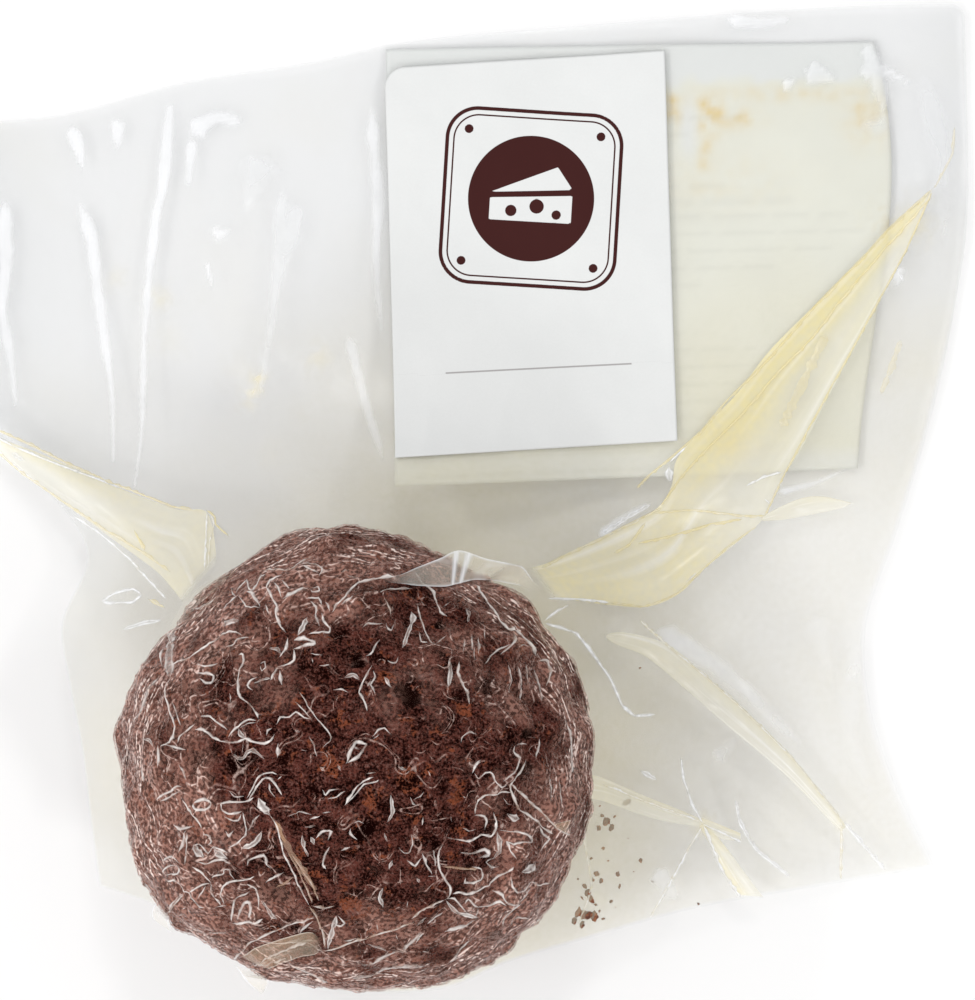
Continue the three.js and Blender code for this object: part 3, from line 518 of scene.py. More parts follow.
    ([(11, -3.6), (11.5, -4.8), (12.3, -5)], 0.7, 0.7, 0.0),
    ([(8.8, 1.7), (10.4, 1.3)], 1.1, 0.85, 0.0),
    ([(13.3, -7.4), (13, -8.8)], 0.7, 0.85, 0.0),
    ([(13.4, -2.8), (12.8, -3.6), (11.5, -4.2)], 0.6, 0.7, 0.0),
    ([(14.1, 0.9), (14.6, 0)], 0.8, 0.85, 0.05),
    ([(10.2, -15.2), (11.7, -16.3), (12.8, -14.6)], 0.6, 0.7, 0.0),
    ([(20.5, -3.9), (21, -4.2)], 0.7, 0.8, 0.0),
    ([(18.2, -7.4), (18.4, -8.3)], 0.8, 0.75, 0.0),
    # The right side.
    ([(19.9, 5.8), (20.2, 7), (21.7, 7.7), (22.9, 7.3)], 0.5, 0.7, 0.0),
    ([(22, 0.3), (22.5, 1.7), (23.5, 2.7)], 0.8, 0.9, 0.0),
    ([(22.4, 0.3), (23.2, -0.7), (24.3, 0.3), (25.4, 0.3), (26, -1.3), (27, -2.5),
      (28.4, -2)], 0.5, 0.7, 0.05),
    ([(30, 5), (31, 5.2), (32.2, 5)], 0.6, 0.7, 0.0),
    ([(29.8, 5), (29.5, 3.8), (30.7, 2.5), (30.3, 1), (29, -0.2), (27.3, -1.4)], 0.6, 0.65, 0.1),
    ([(32, 2.3), (31, 0.3), (29.7, -1), (28.7, -2.3), (29.3, -4.3), (30, -6.3), (31.7, -7.7), (33.7, -9.3),
      (35.7, -11.3), (37, -12)], 0.6, 0.6, 0.4),
    ([(29, -2), (31, -4), (33, -6.2), (35, -8), (37.3, -10.7), (40.3, -13.2)], 0.7, 0.5, 0.45),
    ([(22.7, -7.3), (22.8, -6), (23.2, -4.7), (24.3, -3.8), (26.3, -3.7), (27.3, -3.3),
      (29.2, -3.5)], 0.6, 0.75, 0.2),
    ([(22.6, -7.5), (24.2, -7.6), (24.7, -8.7), (24.4, -10.3)], 0.7, 0.9, 0.0),
    ([(20.2, -9.6), (21.4, -10.2), (22.8, -10.1)], 0.5, 0.6, 0.0),
    ([(17.5, -11.2), (19, -11.5), (21.7, -12.2), (23.7, -11), (25.3, -11.5), (26.2, -10.5), (26.3, -9),
      (26, -7)],
     0.6, 0.85, 0.05),
    ([(26.5, -10.7), (26.9, -12.6), (26.9, -14.2), (25.8, -15.8)], 1.3, 0.8, 0.0),
    ([(26.8, -10.3), (29.2, -10.7), (30.7, -11), (32.3, -11.7), (32.8, -13), (31, -12.8), (29.7, -13.2),
      (28.2, -12.6), (29, -14.3), (30.1, -15.9)], 0.6, 0.9, 0.0),
    ([(28.3, -7.4), (29.6, -8.4), (30.6, -8.5)], 1.5, 0.7, 0.0),
    ([(27.6, -4.4), (28.3, -5.4), (29.1, -5.7)], 0.5, 0.7, 0.0),
    ([(20, -14.2), (22.3, -14.3), (24.2, -13.8), (25, -14.7), (23.2, -15.3)], 0.9, 0.85, 0.0),
    ([(26, -15.4), (24.6, -16), (25.4, -17.2), (26.8, -17.4)], 0.6, 0.75, 0.0),
    ([(34, -10), (34.7, -11.7), (36, -12.8), (34.2, -14.7)], 0.7, 0.7, 0.05),
    ([(34.5, 6), (34.2, 4.2), (33.6, 2.2)], 0.6, 0.6, 0.15),
    ([(39, 10), (39.8, 6.6), (40.4, 3), (40.5, -1)], 0.6, 0.65, 0.0),
    ([(38.2, -2), (38.5, -4), (38.2, -6.4)], 0.6, 0.5, 0.0),
    ([(36, -1), (36.5, -3.4), (36.4, -6)], 0.6, 0.4, 0.05),
    # The upper right.
    ([(-3.4, 29.1), (-2.7, 30.5), (-1.2, 31.8), (-0.2, 33.2), (1, 34.3), (3, 34.9), (5, 35.3), (7.7, 35.1)],
     0.7, 0.85, 0.1),
    ([(-1.8, 30.4), (-0.3, 31.3), (0.3, 32)], 0.9, 0.6, 0.0),
    ([(5, 32.5), (6.3, 33.2), (8.4, 33.3), (11, 33.3)], 0.5, 0.45, 0.1),
    ([(-2.3, 35.9), (-0.6, 37)], 0.5, 0.55, 0.1),
    ([(-1.4, 36.1), (0.2, 35.4), (1.8, 35)], 0.5, 0.5, 0.1),
    ([(22.4, 33.9), (23.7, 31.8), (25.3, 29.7), (27, 27.5), (28.7, 26), (29.9, 25.4)], 0.6, 0.9, 0.15),
    ([(29.9, 25.4), (31, 24.5), (33, 22.3), (33.7, 20.6)], 0.7, 0.75, 0.15),
    ([(29.8, 25.3), (30, 23.8), (29, 22.7), (27, 21.2)], 0.8, 0.6, 0.2),
    ([(24.3, 19.6), (25.2, 21), (27, 22.3), (29.2, 23.2)], 0.6, 0.55, 0.1),
    ([(30.2, 22.6), (31.4, 22.9), (32.6, 22.4)], 0.5, 0.7, 0.0),
    ([(11.4, 36.5), (12.7, 34.7), (14.5, 33), (15.2, 31), (16, 29), (17.4, 28.2)], 0.6, 0.7, 0.15),
    ([(16.6, 29.8), (17.7, 30.6)], 0.5, 0.7, 0.0),
    ([(20.6, 29.4), (21.3, 28.2), (20.9, 26.9)], 1.5, 0.6, 0.0),
    ([(17.7, 20.5), (18.1, 18.7), (17.6, 15.8)], 1.2, 0.85, 0.0),
    ([(19.7, 20.4), (19.3, 18.3), (20.2, 16.3), (21.2, 14.7), (21.5, 12.6)], 0.7, 0.55, 0.1),
    ([(20.6, 24.2), (20.4, 22)], 0.6, 0.6, 0.0),
    ([(21.8, 25), (22, 22.2)], 0.6, 0.6, 0.0),
    ([(23, 24.4), (23.2, 21.4)], 0.6, 0.6, 0.0),
    ([(22.3, 23), (22.6, 20.4)], 0.5, 0.6, 0.0),
    ([(24.2, 26.4), (24.2, 24)], 0.5, 0.5, 0.0),
    ([(28.6, 19.4), (29, 16.6), (28.8, 14)], 0.6, 0.5, 0.0),
    ([(30.2, 19), (30.8, 15.8), (31, 13)], 0.6, 0.55, 0.0),
    ([(32, 19.6), (32.4, 16)], 0.6, 0.5, 0.0),
    ([(33.4, 18.4), (34.4, 15.4), (35, 12.6)], 0.6, 0.5, 0.05),
    ([(34, 19.7), (35.6, 19.7), (36.4, 18.4), (36.5, 17), (35.7, 15)], 0.6, 0.4, 0.35),
    # Film bunched up at the left, and a line of painted highlight along the rim there.
    ([(-33.6, 16.8), (-34.3, 19.6), (-34.5, 22.4), (-34.4, 24.8)], 2.8, 0.55, 0.0),
    ([(-35.6, 18.6), (-36.1, 20.2), (-35.6, 22.2)], 0.7, 0.9, 0.0),
]

# Pits of the crust, dented and darkened with painted shade (the three at the upper left also stand for the
# shadow under a crease there), and its rusty patches: place seen from above, size.
PITS = [((11, 15), 2.6), ((-26, 21.8), 1.5), ((-23.4, 23.4), 1.5), ((-20.6, 24.2), 1.2), ((1.5, 21), 1.5),
        ((-28, 2.5), 1.5), ((-27, -1.2), 1.8), ((-21, 2), 2.0), ((25.3, 16), 1.8), ((33, 7), 1.0),
        ((26.5, -31.8), 1.6), ((3, -10), 2.3), ((-5.3, -37), 1.0), ((-12.4, -22), 1.9), ((32.5, 0.3), 1.5),
        ((16.4, 27.4), 1.2), ((0.6, -3.6), 1.0)]
RUSTY = [((-3.5, 2.5), 2.2), ((10.5, -1), 2.4), ((12.8, -0.2), 1.6), ((20.5, -2), 2.3), ((4.5, -3.5), 2.0),
         ((-1.8, 13.8), 1.5), ((20.8, 12), 1.3), ((-8.6, -13.5), 1.8), ((-6.4, -18), 1.8), ((1, -25), 3.0),
         ((6, -27), 3.0), ((20, -10.5), 2.0), ((6.5, 18.5), 1.9), ((-32.5, -7.8), 2.1), ((-15, -28.5), 1.6)]

# Loose crumbs of the crust inside the bag: place, size.
CRUMBS = [
    (51.9, -9.9, 1.1), (46.9, -12.2, 1.0), (47.8, -13.4, 1.3), (48.8, -14.8, 1.2), (46.2, -14.6, 0.9),
    (49.4, -12.6, 0.6), (44.2, -9.6, 0.8), (45, -11, 0.7), (43.6, -7.4, 0.6), (46.4, -10.2, 0.5),
    (45.9, -23.9, 1.2), (46.9, -25.4, 1.1), (45.2, -25, 0.8), (50.2, -24.3, 0.9), (54.8, -21.8, 0.7),
    (50.6, -26.8, 0.8), (53.4, -24, 0.4), (43.6, -26.2, 0.9), (44.2, -27.6, 1.2), (44.9, -29, 1.3),
    (43.1, -28.6, 0.7), (45.8, -30.2, 0.6), (42.4, -31.6, 1.4), (43.9, -32.2, 1.7), (45.6, -32.6, 2.0),
    (47.4, -33.2, 1.2), (41.6, -33.2, 1.5), (43.2, -34.1, 1.6), (46.6, -31.6, 0.8), (48.9, -29.8, 0.6),
    (49.8, -31, 0.4), (54.6, 16.2, 0.6), (47.8, 28.9, 0.7), (66.5, -31, 0.6), (42.2, -24.6, 0.5),
    (57.2, -26.2, 0.4), (52.2, -17.2, 0.4), (47.2, -18.8, 0.5), (44.8, -20.6, 0.5), (48.2, -21.4, 0.4),
]
# Oil on the back label: place, reach across and along, strength.
STAINS = [((61.6, 128), (2.2, 4), 0.9), ((69, 126.2), (3, 4), 1.0), ((73, 125.6), (5, 1.8), 0.9),
          ((68, 119.5), (1.8, 5), 0.5), ((86, 130.5), (22, 1.6), 0.35), ((101, 126), (4.5, 5), 0.6),
          ((70, 113), (16, 5), 0.15)]

# Spots of oil on the film: place, size, strength.
OIL_FLECKS = [((-20.9, 73.4), 1.6, 1.0), ((-21.6, 70.8), 1.8, 0.9), ((-22.6, 68), 2.0, 0.5),
              ((-8.6, 77.5), 3.2, 0.6), ((-40.7, 89.6), 2.2, 0.6), ((-49.4, 93.6), 2.2, 0.35),
              ((-39, 81), 3.6, 0.25), ((-12, 66), 4.0, 0.3), ((-24, 75), 4.5, 0.25), ((-18, 58), 5.0, 0.3),
              ((62, 42), 4.0, 0.8), ((40, 33), 4.0, 0.9), ((67.2, -15), 3.0, 0.9), ((95, -15.5), 2.4, 0.8),
              ((74, 58), 5.0, 0.6), ((109, 104), 4.0, 0.7), ((-31, 44), 3.0, 0.5), ((-36, 33), 4.0, 0.5),
              ((50, -12), 6.0, 0.5), ((46, -29), 6.0, 0.6)]

# Badge of the front label: a wedge of cheese on a disc, in a rounded frame with a dot in each corner.
BADGE_CENTRE = (33.3, 109.4)
BADGE_TURN = -3.5
BADGE_HALF = 17.8
BADGE_CORNER_RADIUS = 6.5
BADGE_FRAME_WIDTH = 0.75
BADGE_INNER_HALF = 16.1
BADGE_INNER_RADIUS = 5.0
BADGE_DISC_RADIUS = 12.6
WEDGE_SIDE = [(-8.2, -4.6), (8.2, -4.6), (8.2, 1.0), (-8.2, -0.2)]
WEDGE_TOP = [(-8.2, 0.9), (8.2, 2.2), (5.0, 6.6)]
WEDGE_HOLES = [((-3.9, -2.6), 1.15), ((1.2, -1.5), 1.45), ((5.2, -3.0), 0.95)]
DOT_PLACE = 13.2
DOT_RADIUS = 0.9
PRINT_ROWS = 26
RULE = [(15.9, 74.4), (53.5, 76.4)]

# Finishes of the folds and creases: haze, colour clean, colour oiled and, on the ball, colour of their
# painted highlights.
FILM_FINISHES = {
    "oiled_film": (0.2, (0.97, 0.94, 0.8), (1.0, 0.88, 0.45)),
    "creased_film": (0.2, (0.8, 0.8, 0.79), (0.90, 0.76, 0.34)),
    "film_creased_on_ball": (0.08, (0.62, 0.47, 0.40), (0.68, 0.34, 0.13), (0.97, 0.9, 0.86)),
    "film_folded_on_ball": (0.14, (0.80, 0.62, 0.46), (0.82, 0.48, 0.22), (0.9, 0.8, 0.68)),
    "bridging_film": (0.05, (0.84, 0.77, 0.68), (0.96, 0.83, 0.54)),
}

# Small lamps all round: heading and height in degrees.
LAMPS = [(20, 48), (85, 52), (150, 46), (200, 52), (262, 47), (318, 50)]
LARGE_LAMP_SHARE = 4.0
CAMERA_PLACE = (0.0246, 0.0492)


# ---- Settings ----------------------------------------------------------------------------------
class BallSettings(bpy.types.PropertyGroup):
    """The cheese and its crust."""
    crust_steps: IntProperty(name="Crust steps", description="Cells along each side of its six patches",
                             default=128, min=16, max=128)
    pit_depth: FloatProperty(name="Pit depth", description="How deep the crust's pits go, in millimetres",
                             default=1.9, min=0.0)
    # Dark crust: the crust's darkest grains, and the painted shade in its pits.
    dark: FloatVectorProperty(name="Dark crust", description="Colour of the pits", subtype="COLOR",
                              default=(0.007, 0.0012, 0.0008), min=0.0, max=1.0)
    brown: FloatVectorProperty(name="Brown crust", description="Colour of most of the crust", subtype="COLOR",
                               default=(0.135, 0.041, 0.03), min=0.0, max=1.0)
    rust: FloatVectorProperty(name="Rust crust", description="Colour of its reddest patches", subtype="COLOR",
                              default=(0.25, 0.068, 0.03), min=0.0, max=1.0)
    pale: FloatVectorProperty(name="Pale crust", description="Colour of its threads and raised grains",
                              subtype="COLOR", default=(0.36, 0.22, 0.19), min=0.0, max=1.0)


class FilmSettings(bpy.types.PropertyGroup):
    """The clear bag."""
    dome_steps: IntProperty(name="Dome steps", description="Cells across the film over the ball", default=312,
                            min=20, max=315)
    foot_steps: IntProperty(name="Foot steps", description="Cells across the film under the ball",
                            default=150, min=20, max=300)
    sheet_steps: IntProperty(name="Sheet steps", description="Cells along each side of the upper sheet",
                             default=320, min=20, max=340)
    lower_steps: IntProperty(name="Lower sheet steps", description="Cells along each side of the lower sheet",
                             default=190, min=20, max=340)
    haze: FloatProperty(name="Haze", description="How milky the flat film is", default=0.15, subtype="FACTOR",
                        min=0.0, max=1.0)
    clear: FloatVectorProperty(name="Film", description="Colour of the clean film's haze", subtype="COLOR",
                               default=(0.72, 0.735, 0.745), min=0.0, max=1.0)
    oily: FloatVectorProperty(name="Oiled film", description="Colour of the film's haze where oil has run",
                              subtype="COLOR", default=(0.97, 0.84, 0.44), min=0.0, max=1.0)


class LabelSettings(bpy.types.PropertyGroup):
    """The two labels."""
    white: FloatVectorProperty(name="White label", description="Paper of the front label", subtype="COLOR",
                               default=(0.73, 0.74, 0.735), min=0.0, max=1.0)
    ivory: FloatVectorProperty(name="Ivory label", description="Oiled paper of the back label",
                               subtype="COLOR", default=(0.83, 0.825, 0.71), min=0.0, max=1.0)
    ink: FloatVectorProperty(name="Ink", description="Colour of the badge", subtype="COLOR",
                             default=(0.042, 0.0045, 0.0035), min=0.0, max=1.0)


class StageSettings(bpy.types.PropertyGroup):
    """Floor, lights and camera."""
    camera_height: FloatProperty(name="Camera height", description="Height of the camera above the floor",
                                 default=0.75, unit="LENGTH", min=0.1)
    lens: FloatProperty(name="Lens", description="Focal length in millimetres", default=134.6, min=10.0)
    lamp_power: FloatProperty(name="Lamp power", description="Power of each lamp of the ring, in watts",
                              default=1.9, min=0.0)
    lamp_size: FloatProperty(name="Lamp size", description="Side of each lamp", default=0.15, unit="LENGTH",
                             min=0.01)
    sky: FloatProperty(name="Sky", description="Strength of the light from all around", default=0.46, min=0.0)


# ---- Curves and noise --------------------------------------------------------------------------
def spline(points, share):
    """Points on a Catmull-Rom curve through the given points, at shares 0 to 1 of it."""
    points = np.asarray(points, float)
    last = len(points) - 1
    place = np.clip(share, 0, 1) * last
    first = np.minimum(np.floor(place).astype(int), last)
    w = (place - first)[..., None]
    before, start = points[np.maximum(first - 1, 0)], points[first]
    end, after = points[np.minimum(first + 1, last)], points[np.minimum(first + 2, last)]
    leaving, arriving = (end - before) / 2, (after - start) / 2
    return ((2 * start - 2 * end + leaving + arriving) * w**3
            + (-3 * start + 3 * end - 2 * leaving - arriving) * w**2 + leaving * w + start)


def smoothstep(value, low, high):
    share = np.clip((value - low) / (high - low), 0, 1)
    return share * share * (3 - 2 * share)


class Noise:
    """Smooth gradient noise in space, about -1 to 1, the same for the same seed."""

    def __init__(self, seed):
        draw = np.random.default_rng(seed)
        self.order = np.tile(draw.permutation(256), 3)
        ways = draw.normal(size=(256, 3))
        self.ways = ways / np.linalg.norm(ways, axis=1)[:, None]

    def __call__(self, points):
        cell = np.floor(points).astype(int)
        inside = points - cell
        fade = inside**3 * (inside * (inside * 6 - 15) + 10)
        cell &= 255
        total = np.zeros(len(points))
        for corner in itertools.product((0, 1), repeat=3):
            x, y, z = (cell[:, axis] + corner[axis] for axis in range(3))
            way = self.ways[self.order[self.order[self.order[x] + y] + z]]
            weight = np.prod(np.where(corner, fade, 1 - fade), axis=1)
            total += weight * ((inside - corner) * way).sum(axis=1)
        return total * 1.7


def crests(noise, points):
    """1 along winding lines, falling to 0 away from them."""
    return np.clip(1 - 3.2 * np.abs(noise(points)), 0, 1)


def distance_to_line(x, y, line):
    """Distance of each place from a broken line, and how far along the line it lies, 0 to 1."""
    least = np.full(len(x), np.inf)
    along = np.zeros(len(x))
    steps = len(line) - 1
    for i in range(steps):
        (ax, ay), (bx, by) = line[i], line[i + 1]
        dx, dy = bx - ax, by - ay
        share = np.clip(((x - ax) * dx + (y - ay) * dy) / max(dx * dx + dy * dy, TINY), 0, 1)
        away = np.hypot(x - ax - share * dx, y - ay - share * dy)
        nearer = away < least
        least = np.where(nearer, away, least)
        along = np.where(nearer, (i + share) / steps, along)
    return least, along


def depth_inside(x, y, outline):
    """How far inside a closed outline each place lies, less than 0 outside."""
    edge, _ = distance_to_line(x, y, list(outline) + [outline[0]])
    inside = np.zeros(len(x), bool)
    for (ax, ay), (bx, by) in zip(outline, list(outline[1:]) + [outline[0]]):
        if ay != by:
            crosses = (ay > y) != (by > y)
            inside ^= crosses & (x < (bx - ax) * (y - ay) / (by - ay) + ax)
    return np.where(inside, edge, -edge)


# ---- Form of the ball --------------------------------------------------------------------------
def ball_reach(direction):
    """Radius of the ball with its film in each direction."""
    x, y, z = direction.T
    heading = np.degrees(np.arctan2(y, x))
    relief = -CROWN_FLATTENING * np.maximum(0, z) ** 4
    for towards, height in BULGES:
        away = np.abs((heading - towards + 180) % 360 - 180)
        relief = relief + (1 - z**2) * height * np.exp(-((away / BULGE_SPREAD) ** 2))
    for turns, height, skew in CRAGS:
        across_x = np.sin(turns * x + skew * np.sin(turns * 0.7 * y + skew))
        across_y = np.sin(turns * y + skew * np.sin(turns * 0.8 * z + 2 * skew))
        across_z = np.sin(turns * z + skew * np.sin(turns * 0.6 * x + 3 * skew))
        relief = relief + height * (across_x * across_y + across_y * across_z + across_z * across_x) / 2
    return BALL_RADIUS + smoothstep(z, FOOT_EDGE, FOOT_BLEND) * relief


def from_centre(direction, reach):
    """Points at that reach from the ball's middle."""
    return direction * reach[:, None] + (0, 0, CENTRE_HEIGHT)


# ---- Form of the bag ---------------------------------------------------------------------------
def round_corner(x, y, corner, radius, way):
    """Turns the square corner of an outline into a quarter circle. way points out of the corner."""
    qx = (x - corner[0]) * way[0] + radius
    qy = (y - corner[1]) * way[1] + radius
    near = (qx > 0) & (qy > 0)
    pull = np.where(near, np.maximum(qx, qy) / np.maximum(np.hypot(qx, qy), 1e-9), 1)
    moved_x = corner[0] + way[0] * (qx * pull - radius)
    moved_y = corner[1] + way[1] * (qy * pull - radius)
    return np.where(near, moved_x, x), np.where(near, moved_y, y)


def bag_plan(u, v):
    """Place on the bag from its shares across, u, and along, v."""
    between = ((1 - v)[:, None] * spline(BOTTOM_SIDE, u) + v[:, None] * spline(TOP_SIDE, u)
               + (1 - u)[:, None] * spline(LEFT_SIDE, v) + u[:, None] * spline(RIGHT_SIDE, v))
    corners = [(BOTTOM_SIDE[0], (1 - u) * (1 - v)), (BOTTOM_SIDE[-1], u * (1 - v)),
               (TOP_SIDE[0], (1 - u) * v), (TOP_SIDE[-1], u * v)]
    for corner, share in corners:
        between = between - share[:, None] * np.array(corner)
    return np.stack(round_corner(*between.T, TOP_SIDE[-1], BAG_CORNER_RADIUS, (1, 1)), axis=1)


def beyond_seam(x, y):
    return np.maximum(0, np.hypot(x, y) - SEAM_RADIUS)


def bag_middle(x, y):
    beside = np.maximum(0, np.cos(np.arctan2(y, x) - STIFF_DIRECTION))
    length = FALL_LENGTH + (STIFF_LENGTH - FALL_LENGTH) * beside**1.5
    fallen = 1 - np.exp(-beyond_seam(x, y) / length)
    turn = 2 * math.pi / WAVE_LENGTH
    wave = np.sin(turn * (x + 0.4 * y)) * np.sin(turn * (y - 0.3 * x))
    return SEAM_HEIGHT + (FLAT_HEIGHT - SEAM_HEIGHT + WAVE_HEIGHT * (1 + wave)) * fallen


def bag_half_depth(x, y):
    return FILM_THICKNESS / 2 + FILLET_HEIGHT * np.exp(-beyond_seam(x, y) / FILLET_REACH)


def ridge_height(x, y):
    raised = np.zeros(len(x))
    for line, height, half_width in RIDGES:
        away, _ = distance_to_line(x, y, line)
        raised = np.maximum(raised, height * np.exp(-((away / half_width) ** 2)))
    return raised


def bag_upper(x, y):
    return bag_middle(x, y) + ridge_height(x, y) + bag_half_depth(x, y)


def bag_lower(x, y):
    return np.maximum(FLOOR_GAP, bag_middle(x, y) - bag_half_depth(x, y))


# ---- Mesh code ---------------------------------------------------------------------------------
def grid_faces(columns, rows):
    """Quads of a grid of points that is columns by rows cells, its points numbered row by row."""
    index = np.arange((columns + 1) * (rows + 1)).reshape(rows + 1, columns + 1)
    quads = np.stack([index[:-1, :-1], index[:-1, 1:], index[1:, 1:], index[1:, :-1]], axis=-1)
    return quads.reshape(-1, 4)


def grid_shares(columns, rows):
    u, v = np.meshgrid(np.linspace(0, 1, columns + 1), np.linspace(0, 1, rows + 1))
    return u.ravel(), v.ravel()


def new_piece(name, points, faces, material, values=None):
    """A smooth mesh of triangles or quads, in millimetres, with a value or more for each point."""
    points = np.asarray(points, float) * MM
    faces = np.asarray(faces, np.int32)
    mesh = bpy.data.meshes.new(name)
    mesh.vertices.add(len(points))
    mesh.vertices.foreach_set("co", points.ravel())
    mesh.loops.add(faces.size)
    mesh.loops.foreach_set("vertex_index", faces.ravel())
    mesh.polygons.add(len(faces))
    mesh.polygons.foreach_set("loop_start", np.arange(0, faces.size, faces.shape[1], dtype=np.int32))
    mesh.update(calc_edges=True)
    if mesh.validate():
        raise RuntimeError(f"{name} isn't a sound mesh")
    mesh.shade_smooth()
    for key, value in (values or {}).items():
        column = mesh.attributes.new(key, "FLOAT", "POINT")
        column.data.foreach_set("value", np.asarray(value, np.float32))
    mesh.materials.append(material)
    piece = bpy.data.objects.new(name, mesh)
    bpy.context.scene.collection.objects.link(piece)
    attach(piece, BODY)
    return piece


def used_only(points, faces, values):
    """The same mesh without the points that no face uses."""
    kept, faces = np.unique(faces, return_inverse=True)
    return points[kept], faces.reshape(-1, 4), {key: value[kept] for key, value in values.items()}


def cube_sphere(steps):
    """Directions over a whole sphere, as six square patches that share their edges."""
    ticks = np.arange(steps + 1)
    a, b = (grid.ravel() for grid in np.meshgrid(ticks, ticks))
    faces = grid_faces(steps, steps)
    patches, quads = [], []
    for axis, end in itertools.product(range(3), (0, steps)):
        lattice = np.empty((len(a), 3), int)
        lattice[:, axis] = end
        lattice[:, (axis + 1) % 3] = a
        lattice[:, (axis + 2) % 3] = b
        quads.append((faces if end else faces[:, ::-1]) + len(a) * len(patches))
        patches.append(lattice)
    lattice, place = np.unique(np.concatenate(patches), axis=0, return_inverse=True)
    places = np.tan((2 * lattice / steps - 1) * math.pi / 4)
    directions = places / np.linalg.norm(places, axis=1)[:, None]
    return directions, place.ravel()[np.concatenate(quads)]


def dome(steps, reach, upward):
    """Directions out to an angle from straight up or down, on a square grid drawn into a disc."""
    share = np.linspace(-1, 1, steps + 1)
    a, b = (grid.ravel() for grid in np.meshgrid(share, share))
    wide = np.abs(a) > np.abs(b)
    outward = np.where(wide, a, b)
    lesser = np.where(wide, b, a) / np.where(outward == 0, 1, outward)
    turn = np.where(wide, lesser, 2 - lesser) * math.pi / 4
    polar = outward * reach
    level = np.sin(polar)
    directions = np.stack([level * np.cos(turn), level * np.sin(turn), upward * np.cos(polar)], axis=1)
    faces = grid_faces(steps, steps)
    return directions, faces if upward > 0 else faces[:, ::-1]


def joined(parts):
    """One mesh from several: points, faces and values."""
    points, faces, values, count = [], [], {}, 0
    for part_points, part_faces, part_values in parts:
        points.append(part_points)
        faces.append(part_faces + count)
        count += len(part_points)
        for key, value in part_values.items():
            values.setdefault(key, []).append(value)
    values = {key: np.concatenate(columns) for key, columns in values.items()}
    return np.concatenate(points), np.concatenate(faces), values


# ---- The film's own relief ---------------------------------------------------------------------
COARSE = Noise(11)
WRINKLE = Noise(12)
SECOND = Noise(13)
WARP_X, WARP_Y, WARP_Z = Noise(14), Noise(15), Noise(16)
PATCHY = Noise(17)
SMALL = Noise(18)


def warped(points, spacing, strength):
    shifted = points / spacing
    return points + strength * np.stack([WARP_X(shifted), WARP_Y(shifted), WARP_Z(shifted)], axis=1)


def crest_distance(noise, points, spacing, reach=2.5):
    """Signed distance from the winding lines where a noise is nil, in millimetres."""
    step = 0.15
    here = noise(points / spacing)
    slope = [(noise((points + np.eye(3)[axis] * step) / spacing) - here) / step for axis in range(3)]
    steep = np.sqrt(sum(part**2 for part in slope))
    return np.clip(here / np.maximum(steep, 0.05), -reach, reach)


def coarse_relief(points):
    """Relief of the crust that the film follows: wide dents and lumps."""
    return 0.5 * COARSE(points / 9.0) + 0.28 * COARSE(points / 4.6 + 40)


def rim_lines(directions, base):
    """Signed distance from the creases that run along the ball's rim, how near the rim each place is, and
    where painted highlights lie along these creases.
    """
    polar = np.arccos(np.clip(directions[:, 2], -1, 1))
    level = np.maximum(np.hypot(directions[:, 0], directions[:, 1]), 1e-6)
    ring = directions[:, :2] / level[:, None] * (BALL_RADIUS / 11)
    wander = 0.5 * WARP_X(base / 9)
    stretched = np.stack([ring[:, 0], ring[:, 1], polar * BALL_RADIUS / 1.7 + wander], axis=1)
    here = SECOND(stretched)
    slope = (SECOND(stretched + (0, 0, 0.1)) - here) / 0.1 / 1.7
    near_rim = smoothstep(polar, math.radians(46), math.radians(64))
    lit_rim = near_rim * smoothstep(PATCHY(stretched * (1, 1, 0.3) + 13), -0.35, 0.2)
    return np.clip(here / np.maximum(np.abs(slope), 0.08), -2.5, 2.5), near_rim, lit_rim


